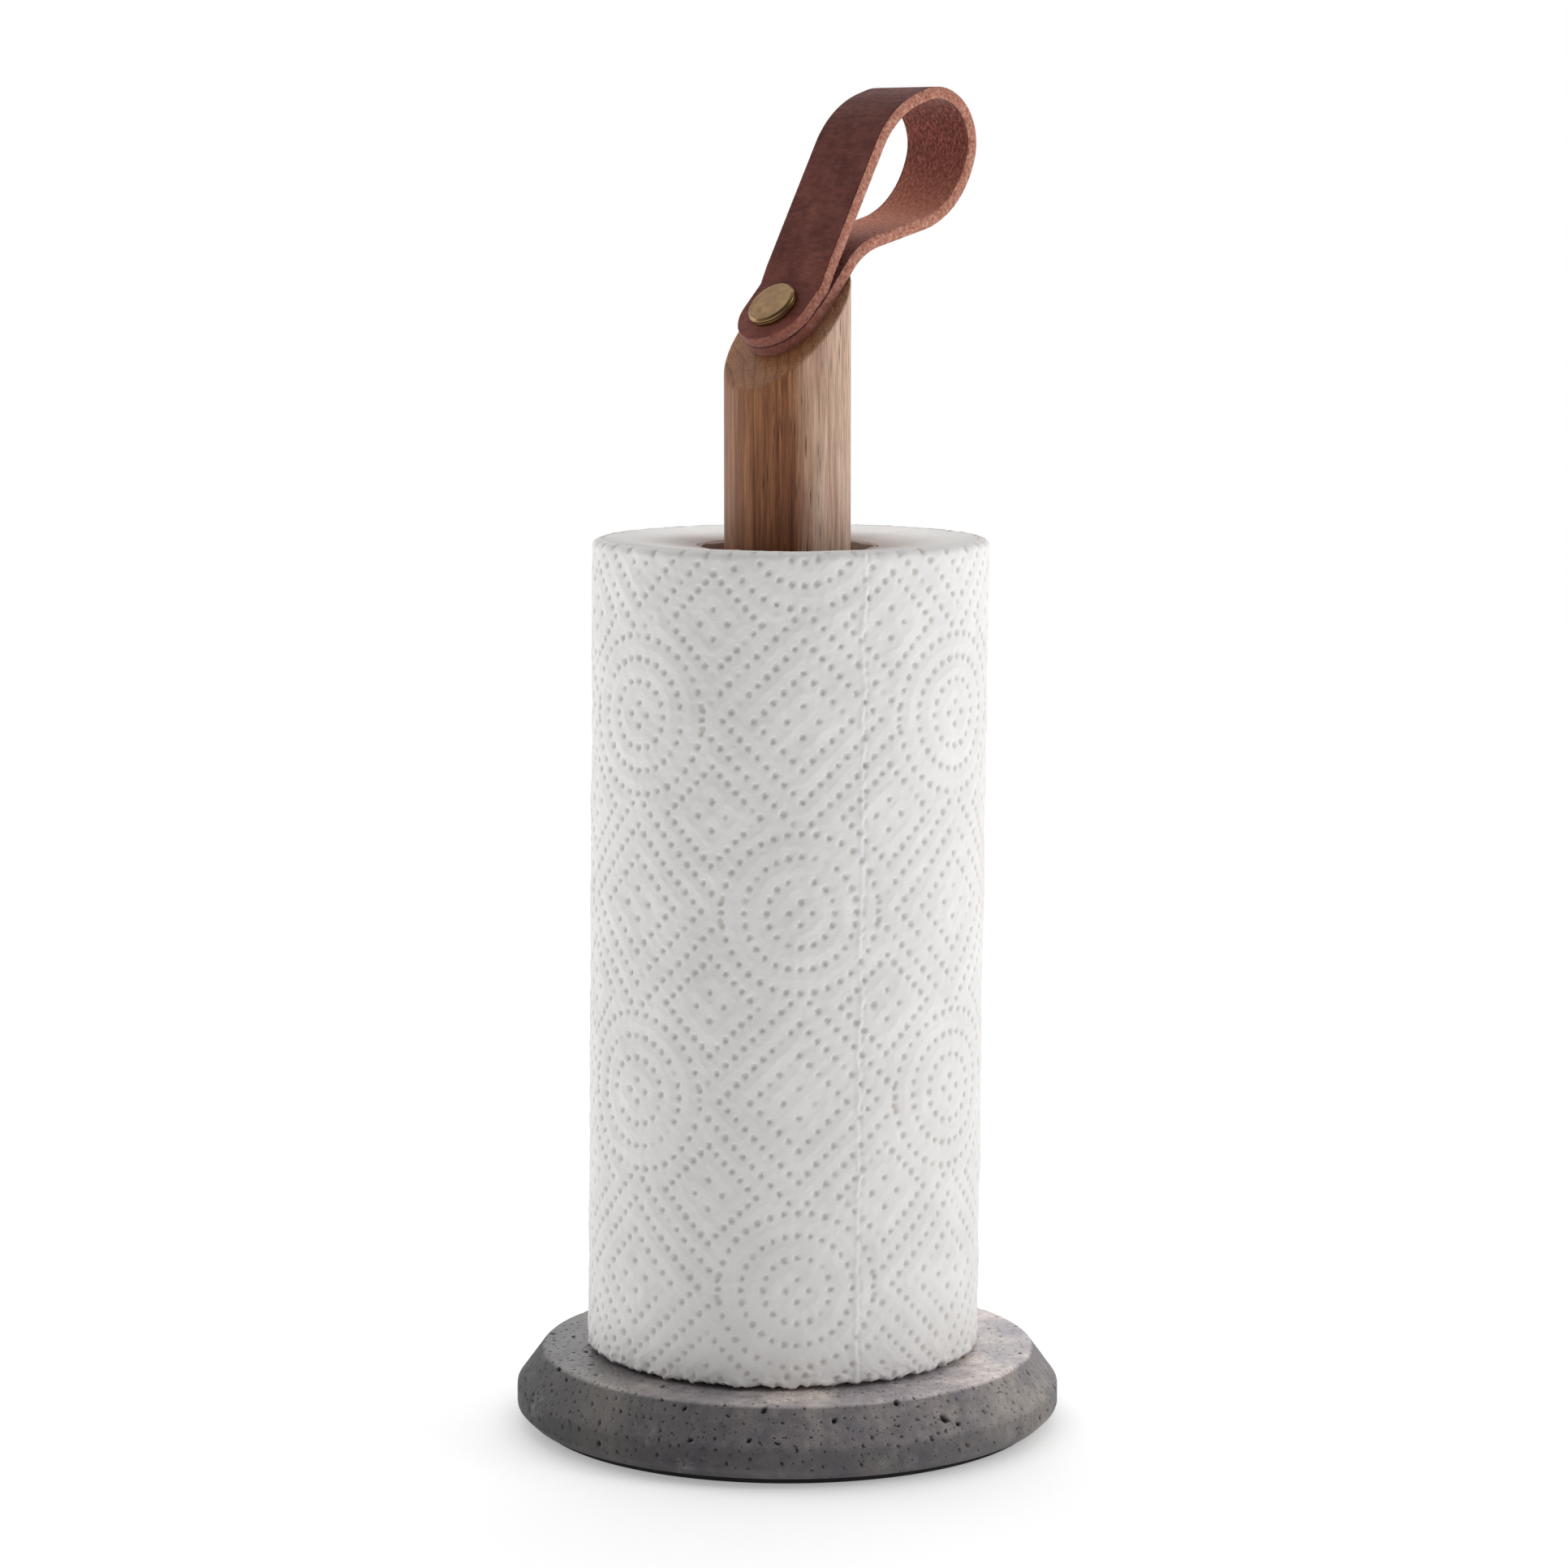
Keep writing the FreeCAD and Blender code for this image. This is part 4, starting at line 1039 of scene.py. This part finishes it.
    # each dot is a little larger or smaller, and every so often one has sprung back
    near = add(tree, "GeometryNodeSampleNearest", {"Geometry": dots}, domain="POINT")
    swell = add(tree, "FunctionNodeRandomValue", {"Min": 0.82, "Max": 1.12, "ID": near, "Seed": 3}, data_type="FLOAT")
    spring = add(tree, "FunctionNodeRandomValue", {"Min": 0.0, "Max": 1.0, "ID": near, "Seed": 8}, data_type="FLOAT")
    sprung = add(tree, SPREAD, {"Value": spring, "From Min": 0.0, "From Max": 0.12, "To Min": 0.15, "To Max": 1.0})
    tremble = add(tree, NOISE, {"Vector": place, "Scale": 0.9, "Detail": 1.0})
    nudge = add(tree, "ShaderNodeVectorMath", {0: tremble.outputs["Color"], 1: (0.5, 0.5, 0.5)}, operation="SUBTRACT")
    nudged = add(tree, "ShaderNodeVectorMath", {0: nudge, "Scale": 0.7}, operation="SCALE")
    flat_nudge = add(tree, "ShaderNodeVectorMath", {0: nudged, 1: (1, 1, 0)}, operation="MULTIPLY")
    look = add(tree, "ShaderNodeVectorMath", {0: place, 1: flat_nudge}, operation="ADD")
    away = add(tree, "GeometryNodeProximity", {0: dots, "Sample Position": look}, target_element="POINTS")
    distance = add(tree, MATH, {0: away.outputs["Distance"], 1: swell}, operation="DIVIDE")
    inside = add(tree, MATH, {0: given["Dot Radius"], 1: 0.55}, operation="MULTIPLY")
    outside = add(tree, MATH, {0: given["Dot Radius"], 1: 1.2}, operation="MULTIPLY")
    dot = add(tree, SPREAD, {
        "Value": distance, "From Min": inside, "From Max": outside, "To Min": 1.0, "To Max": 0.0
    }, interpolation_type="SMOOTHSTEP")
    pressed = add(tree, MATH, {0: dot, 1: sprung}, operation="MULTIPLY")

    # the paper puffs up between the dots, and the whole roll is a little lumpy
    puff = add(tree, SPREAD, {
        "Value": distance, "From Min": outside, "From Max": 5.5, "To Min": 0.0, "To Max": 0.34
    }, interpolation_type="SMOOTHSTEP")
    lumps = add(tree, NOISE, {"Vector": place, "Scale": 1 / 24, "Detail": 2.0})
    wrinkles = add(tree, NOISE, {"Vector": place, "Scale": 1 / 4.5, "Detail": 3.0, "Roughness": 0.6})
    lumpy = add(tree, MATH, {0: lumps, 1: 1.5, 2: -0.75}, operation="MULTIPLY_ADD")
    wrinkled = add(tree, MATH, {0: wrinkles, 1: 0.55, 2: lumpy}, operation="MULTIPLY_ADD")
    plain = add(tree, MATH, {0: wrinkled, 1: puff}, operation="ADD")
    sink = add(tree, MATH, {0: pressed, 1: given["Dot Depth"]}, operation="MULTIPLY")
    embossed = add(tree, MATH, {0: plain, 1: sink}, operation="SUBTRACT")

    # the perforation: a lip that wanders, with cuts between its bonds
    level = add(tree, "ShaderNodeCombineXYZ", {"Y": parts.outputs["Y"]})
    drift = add(tree, NOISE, {"Vector": level, "Scale": 1 / 16, "Detail": 3.0})
    wander = add(tree, MATH, {0: drift, 1: 4.4, 2: -2.2}, operation="MULTIPLY_ADD")
    line = add(tree, MATH, {0: given["Perforation"], 1: wander}, operation="ADD")
    off = add(tree, MATH, {0: parts.outputs["X"], 1: line}, operation="SUBTRACT")
    lip = add(tree, SPREAD, {
        "Value": add(tree, MATH, {0: add(tree, MATH, {0: off, 1: 0.75}, operation="ADD")}, operation="ABSOLUTE"),
        "From Min": 0.0, "From Max": 1.1, "To Min": 0.26, "To Max": 0.0,
    }, interpolation_type="SMOOTHSTEP")
    slit = add(tree, SPREAD, {
        "Value": add(tree, MATH, {0: off}, operation="ABSOLUTE"),
        "From Min": 0.1, "From Max": 0.62, "To Min": 0.5, "To Max": 0.0,
    })
    bond = add(tree, NOISE, {"Vector": level, "Scale": 1 / 2.6, "Detail": 1.0})
    torn = add(tree, SPREAD, {"Value": bond, "From Min": 0.42, "From Max": 0.58})
    lipped = add(tree, MATH, {0: lip, 1: embossed}, operation="ADD")
    slotted = add(tree, MATH, {0: slit, 1: torn}, operation="MULTIPLY")
    perforated = add(tree, MATH, {0: lipped, 1: slotted}, operation="SUBTRACT")

    # the rims: rounded at the top, crushed and ragged at the bottom
    height = add(tree, MATH, {0: given["Height"], 1: 0.5, 2: parts.outputs["Y"]}, operation="MULTIPLY_ADD")
    room = add(tree, MATH, {0: given["Height"], 1: height}, operation="SUBTRACT")
    top = add(tree, SPREAD, {"Value": room, "From Min": 0.0, "From Max": given["Edge Round"], "To Min": 1.0, "To Max": 0.0})
    foot_share = add(tree, SPREAD, {"Value": height, "From Min": 0.0, "From Max": 1.6, "To Min": 1.0, "To Max": 0.0})
    crush = add(tree, SPREAD, {
        "Value": height, "From Min": 0.5, "From Max": 7.0, "To Min": 1.0, "To Max": 0.0
    }, interpolation_type="SMOOTHSTEP")
    rim = add(tree, MATH, {0: top, 1: foot_share}, operation="MAXIMUM")
    rim_square = add(tree, MATH, {0: rim, 1: rim}, operation="MULTIPLY")
    rim_left = add(tree, MATH, {0: 1.0, 1: rim_square}, operation="SUBTRACT")
    rim_root = add(tree, MATH, {0: rim_left}, operation="SQRT")
    rim_in = add(tree, MATH, {0: 1.0, 1: rim_root}, operation="SUBTRACT")
    tucked = add(tree, MATH, {0: rim_in, 1: given["Edge Round"]}, operation="MULTIPLY")
    folds = add(tree, NOISE, {"Vector": place, "Scale": 1 / 5.2, "Detail": 3.0, "Roughness": 0.6})
    fold = add(tree, MATH, {0: folds, 1: 3.6, 2: -1.9}, operation="MULTIPLY_ADD")
    crumpled = add(tree, MATH, {0: fold, 1: crush}, operation="MULTIPLY")
    shaped = add(tree, MATH, {0: perforated, 1: crumpled}, operation="ADD")
    offset = add(tree, MATH, {0: shaped, 1: tucked}, operation="SUBTRACT")
    tatter = add(tree, NOISE, {"Vector": place, "Scale": 1 / 4.0, "Detail": 4.0, "Roughness": 0.65})
    rag = add(tree, SPREAD, {"Value": tatter, "From Min": 0.36, "From Max": 0.7, "To Min": 0.0, "To Max": 1.7})
    lifted = add(tree, MATH, {0: rag, 1: crush}, operation="MULTIPLY")
    top_square = add(tree, MATH, {0: top, 1: top}, operation="MULTIPLY")
    dip = add(tree, MATH, {0: rag, 1: top_square}, operation="MULTIPLY")
    dipped = add(tree, MATH, {0: dip, 1: 0.2}, operation="MULTIPLY")
    raised = add(tree, MATH, {0: height, 1: lifted}, operation="ADD")
    tall_now = add(tree, MATH, {0: raised, 1: dipped}, operation="SUBTRACT")

    # rolled up: the tail lies on top, and the sheet goes in by one thickness as it comes round
    share = add(tree, MATH, {0: parts.outputs["X"], 1: given["Length"]}, operation="DIVIDE")
    turn = add(tree, MATH, {0: share, 1: 0.5}, operation="ADD")
    bearing = add(tree, MATH, {0: turn, 1: math.tau, 2: given["Start Angle"]}, operation="MULTIPLY_ADD")
    inward = add(tree, MATH, {0: turn, 1: given["Tail Step"]}, operation="MULTIPLY")
    radius = add(tree, MATH, {0: given["Radius"], 1: inward}, operation="SUBTRACT")
    reach = add(tree, MATH, {0: radius, 1: offset}, operation="ADD")
    rolled = add(tree, "ShaderNodeCombineXYZ", {
        "X": add(tree, MATH, {0: reach, 1: add(tree, MATH, {0: bearing}, operation="COSINE")}, operation="MULTIPLY"),
        "Y": add(tree, MATH, {0: reach, 1: add(tree, MATH, {0: bearing}, operation="SINE")}, operation="MULTIPLY"),
        "Z": tall_now,
    })
    marked = add(tree, "GeometryNodeStoreNamedAttribute", {
        "Geometry": sheet, "Name": "dot", "Value": pressed
    }, data_type="FLOAT", domain="POINT")
    placed = add(tree, "GeometryNodeSetPosition", {"Geometry": marked, "Position": rolled})
    whole = add(tree, "GeometryNodeRealizeInstances", {"Geometry": placed})
    coated = add(tree, "GeometryNodeSetMaterial", {"Geometry": whole, "Material": tissue})
    add(tree, "NodeGroupOutput", {0: coated})
    return tree


def make_paper():
    """The outer turn of paper as three closed sheets that meet edge to edge."""
    mesh = grow(embossed_paper(), PAPER)
    count = len(mesh.vertices)
    points = np.empty(count * 3, np.float32)
    mesh.vertices.foreach_get("co", points)
    dot = np.empty(count, np.float32)
    mesh.attributes["dot"].data.foreach_get("value", dot)
    columns = int(round(PAPER["Length"] / PAPER["Cell"] - 0.5))
    while count % columns:
        columns += 1
    rows = count // columns
    points = points.reshape(columns, rows, 3).astype(float)
    points[..., 2] += roll_low.z + 0.03
    points = lean(points)
    dot = dot.reshape(columns, rows)
    normal = np.cross(np.gradient(points, axis=0), np.gradient(points, axis=1))
    normal /= np.linalg.norm(normal, axis=2)[..., None]
    cuts = np.round(np.linspace(0, columns - 1, 4)).astype(int)
    for number in range(3):
        first, last = cuts[number], cuts[number + 1]
        outer = points[first : last + 1]
        wide = last - first + 1
        inward = outer[:, [0, -1]].copy()
        middle = lean(np.stack([0 * inward[..., 0], 0 * inward[..., 0], inward[..., 2]], -1))
        spoke = inward[..., :2] - middle[..., :2]
        length = np.linalg.norm(spoke, axis=2)[..., None]
        # the back of the sheet is plain, and tucked below the turns beneath
        inward[:, 1, 2] -= 1.8
        inward[..., :2] = middle[..., :2] + spoke / length * (ROLL_RADIUS - SHEET_THICK - 2.6)
        i, j = np.arange(wide - 1)[:, None], np.arange(rows - 1)[None, :]
        quads = np.stack([i * rows + j, (i + 1) * rows + j, (i + 1) * rows + j + 1, i * rows + j + 1], -1)
        faces = quads.reshape(-1, 4).tolist()
        back = wide * rows
        for k in range(wide - 1):
            low, high = back + 2 * k, back + 2 * k + 1
            faces.append([low, high, high + 2, low + 2])
            faces.append([k * rows, low, low + 2, (k + 1) * rows])
            faces.append([k * rows + rows - 1, (k + 1) * rows + rows - 1, high + 2, high])
        faces.append(list(range(rows)) + [back + 1, back])
        end = (wide - 1) * rows
        faces.append([end + r for r in reversed(range(rows))] + [back + 2 * wide - 2, back + 2 * wide - 1])
        vertices = np.vstack([outer.reshape(-1, 3), inward.reshape(-1, 3)])
        marks = np.concatenate([dot[first : last + 1].ravel(), np.zeros(2 * wide)])
        name = f"paper_sheet_{number + 1}"
        piece = make_piece(name, vertices, faces, [tissue], {"dot": marks}, tidy=False)
        smooth = np.zeros(len(faces), bool)
        smooth[: len(quads.reshape(-1, 4))] = True
        piece.data.polygons.foreach_set("use_smooth", smooth)
        # shared normals, so that the light runs on across the joins
        loops = np.empty(len(piece.data.loops), np.int32)
        piece.data.loops.foreach_get("vertex_index", loops)
        face_normals = np.array([tuple(p.normal) for p in piece.data.polygons])
        sizes = np.array([p.loop_total for p in piece.data.polygons])
        per_loop = np.repeat(face_normals, sizes, axis=0)
        skin = int(4 * len(quads.reshape(-1, 4)))
        per_loop[:skin] = normal[first : last + 1].reshape(-1, 3)[loops[:skin]]
        piece.data.normals_split_custom_set(per_loop.tolist())
        fit(piece, "roll", "roll_paper", *(["paper_roll"] if number == 0 else []))


def make_windings():
    """The turns under the outer one, seen on the roll's ends as rings of slightly uneven height."""
    outer = ROLL_RADIUS - SHEET_THICK - 0.9
    inner = CORE_RADIUS + 0.05
    low, high = roll_low.z + 1.4, roll_high.z
    line = rounded_line(
        [
            (inner, low, 0, 24.0), (inner, high, 0, 0.27), (outer, high, 0, 24.0), (outer, low, 0, 0.6),
        ][::-1],
        0.3,
        closed=True,
    )
    points, faces = turned(line, 360)
    rise = noise.noise
    for i in range(points.shape[0]):
        r, z = line[i]
        upper = z > (low + high) / 2
        inside = (r - inner) / (outer - inner)
        for j in range(points.shape[1]):
            bearing = math.tau * j / points.shape[1]
            # plies are about 0.4 mm apart; they show as bundles of two or three
            ply = (r + 0.95 * bearing / math.tau) / 0.95
            step = rise(Vector((math.floor(ply) * 1.7, math.cos(bearing) * 0.8, math.sin(bearing) * 0.8)))
            groove = abs(ply - math.floor(ply) - 0.5) * 2
            spot = Vector(points[i, j])
            soft = rise(spot / 13) * 0.35 + rise(spot / 2.2) * 0.12
            drop = 0.2 + (0.3 * step + 0.2 * groove**3 + soft) * min(1.0, (1 - inside) * 8)
            # the end of the roll is a little dished, and turned down at the core
            drop += 0.5 * (1 - inside) ** 2 + 1.3 * max(0.0, 0.08 - inside) / 0.08
            drop = max(0.0, drop)
            points[i, j, 2] += -drop if upper else drop * 0.3
    inside = np.clip((line[:, :1] - inner) / (outer - inner), 0, 1)
    piece = make_piece("wound_paper", lean(points, inside), faces, [tissue_ends])
    fit(piece, "roll", "roll_paper")


make_paper()
make_windings()


# ---------------------------------------------------------------- CAD nodes that stay

for node, finish in {
    "foot_pad": rubber,
    "post_insert": steel,
    "post_bolt": steel,
    "post_washer": steel,
    "strap_stud": steel,
}.items():
    for slot in frame["nodes"][node].material_slots:
        slot.material = finish


# ---------------------------------------------------------------- floor, light and camera


def studio_floor():
    """A smooth painted board, pale, with the faintest cloudiness, and a painted glow that grows towards its rim."""
    material, tree, shader, place = new_material(
        "pale_glowing_board", Roughness=0.75, Emission_Color=(1, 1, 1, 1)
    )
    clouds = add(tree, NOISE, {"Vector": place, "Scale": 1 / 300, "Detail": 2.0})
    colour = add(tree, RAMP, {"Fac": clouds}, [(0.3, "f5f5f5"), (0.7, "fbfbfb")])
    # painted light: the board glows, more towards its rim, so that it fades into the white surround
    away = add(tree, "ShaderNodeVectorMath", {0: place}, operation="LENGTH").outputs["Value"]
    glow = add(tree, SPREAD, {
        "Value": away, "From Min": 250.0, "From Max": 1600.0, "To Min": 0.3, "To Max": 0.9
    })
    wire(tree, shader, {"Base Color": colour, "Emission Strength": glow})
    mesh = bpy.data.meshes.new("floor")
    reach, corners = 2.4, 96
    rim = [(reach * math.cos(a), reach * math.sin(a), 0) for a in np.linspace(0, math.tau, corners + 1)[:-1]]
    mesh.from_pydata(rim, [], [list(range(corners))])
    mesh.materials.append(material)
    floor = bpy.data.objects.new("floor", mesh)
    bpy.context.scene.collection.objects.link(floor)


studio_floor()


def soft_light(name, bearing, distance, height, width, tall, power, aim=0.2):
    """A large soft box, at a bearing from the viewer's line of sight, turned to the object."""
    angle = VIEW_ANGLE + math.radians(bearing)
    light = bpy.data.lights.new(name, "AREA")
    light.shape, light.size, light.size_y, light.energy = "RECTANGLE", width, tall, power
    lamp = bpy.data.objects.new(name, light)
    lamp.location = (distance * math.cos(angle), distance * math.sin(angle), height)
    lamp.rotation_euler = (Vector((0, 0, aim)) - lamp.location).to_track_quat("-Z", "Y").to_euler()
    bpy.context.scene.collection.objects.link(lamp)


soft_light("key_softbox", 76, 1.0, 0.5, 0.45, 1.2, 3.6)
soft_light("fill_softbox", -115, 1.2, 0.5, 0.7, 1.0, 3.2)
soft_light("back_softbox", 180, 1.9, 2.0, 3.2, 3.0, 17.0)


def studio_world():
    """A white surround, dimmer on the viewer's side, where the camera stands in the dark."""
    world = bpy.data.worlds.new("white_surround")
    world.use_nodes = True
    tree = world.node_tree
    tree.nodes.clear()
    way = add(tree, "ShaderNodeTexCoord").outputs["Generated"]
    away = (-math.cos(VIEW_ANGLE), -math.sin(VIEW_ANGLE), 0.0)
    facing = add(tree, "ShaderNodeVectorMath", {0: way, 1: away}, operation="DOT_PRODUCT").outputs["Value"]
    strength = add(tree, SPREAD, {
        "Value": facing, "From Min": -0.6, "From Max": 0.5, "To Min": 0.2, "To Max": 0.86
    })
    # seen directly it is plain white
    seen = add(tree, "ShaderNodeLightPath").outputs["Is Camera Ray"]
    bright = add(tree, MATH, {0: strength, 1: seen}, operation="MAXIMUM")
    back = add(tree, "ShaderNodeBackground", {"Color": "ffffff", "Strength": bright})
    add(tree, "ShaderNodeOutputWorld", {"Surface": back})
    bpy.context.scene.world = world


studio_world()

camera_data = bpy.data.cameras.new("camera")
camera_data.lens = 104.35
camera_data.sensor_width = 36.0
camera = bpy.data.objects.new("camera", camera_data)
camera.location = (-0.8726, -0.8713, 0.3364)
camera.rotation_euler = (math.pi / 2 - 0.1286, 0, math.radians(-45))
bpy.context.scene.collection.objects.link(camera)
bpy.context.scene.camera = camera
bpy.context.scene.view_settings.view_transform = "Standard"
